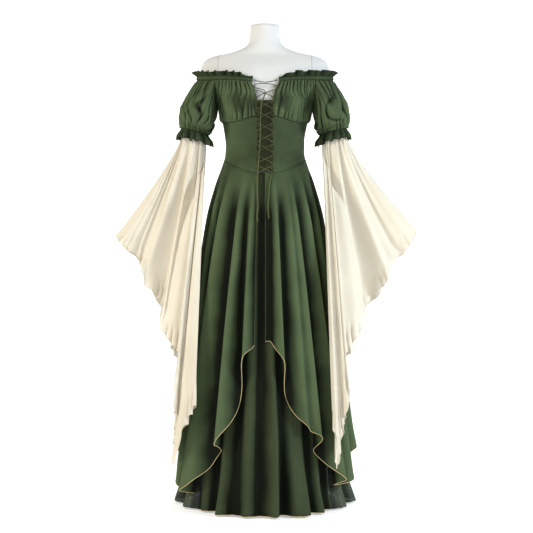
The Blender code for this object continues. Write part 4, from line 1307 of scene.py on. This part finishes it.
def plane(name, corners, colour, glow):
    """A flat stage piece that isn't part of the object."""
    mesh = bpy.data.meshes.new(name)
    mesh.from_pydata(corners, [], [(0, 1, 2, 3)])
    material, tree, shader = new_material(name)
    shader.inputs["Base Color"].default_value = colour
    shader.inputs["Roughness"].default_value = 0.9
    shader.inputs["Emission Color"].default_value = (1.0, 1.0, 1.0, 1.0)
    shader.inputs["Emission Strength"].default_value = glow
    mesh.materials.append(material)
    holder = bpy.data.objects.new(name, mesh)
    bpy.context.scene.collection.objects.link(holder)


STUDIO_REACH = 9
BACKDROP_Y = 8
BACKDROP_LOW = -0.5
BACKDROP_HIGH = 8
FLOOR_GLOW = 0.42
BACKDROP_GLOW = 0.9
WORLD_STRENGTH = 0.30


def build_studio():
    reach = STUDIO_REACH
    floor = [(-reach, -reach, 0), (reach, -reach, 0), (reach, reach, 0), (-reach, reach, 0)]
    backdrop = [(-reach, BACKDROP_Y, BACKDROP_LOW), (reach, BACKDROP_Y, BACKDROP_LOW),
                (reach, BACKDROP_Y, BACKDROP_HIGH), (-reach, BACKDROP_Y, BACKDROP_HIGH)]
    plane("studio_floor", floor, (0.85, 0.85, 0.84, 1.0), FLOOR_GLOW)
    plane("studio_backdrop", backdrop, (0.85, 0.85, 0.85, 1.0), BACKDROP_GLOW)
    world = bpy.data.worlds.new("studio")
    world.use_nodes = True
    world.node_tree.nodes["Background"].inputs["Color"].default_value = (1.0, 1.0, 1.0, 1.0)
    world.node_tree.nodes["Background"].inputs["Strength"].default_value = WORLD_STRENGTH
    bpy.context.scene.world = world
    build_light("light_left", (-3.0, -1.9, 2.4), 1.0, 100, (1.0, 0.95, 0.80))
    build_light("light_right", (3.1, -1.6, 2.0), 1.0, 118, (0.84, 0.94, 1.0))
    build_light("light_front", (0.0, -4.6, 2.2), 2.0, 26, (1.0, 1.0, 1.0))
    build_light("light_back", (0.4, 3.2, 2.6), 1.5, 24, (1.0, 1.0, 1.0))
    bpy.context.scene.view_settings.view_transform = "Standard"


build_camera()
build_studio()
build_laces()
build_form()
build_bust()
build_midriff()
build_neckline()
build_underskirt("underskirt_front", UNDERSKIRT_FOLDS_FRONT, SHADED_GREEN, "green_crepe",
                 2.0)
build_underskirt("underskirt_back", UNDERSKIRT_FOLDS_BACK, SHEER, "sheer_green",
                 3.0)
for index, (word, side, from_centre, folds, hem, bell_hem) in enumerate(SIDES):
    build_puff(word, side, from_centre, 1.3 + 4 * index)
    build_cuff_frill(word, side, from_centre, 2.1 + 3 * index)
    build_bell(word, side, from_centre, bell_hem, 0.7 + 5 * index)
    build_overskirt(word, side, folds, hem, 1.1 + 2 * index)
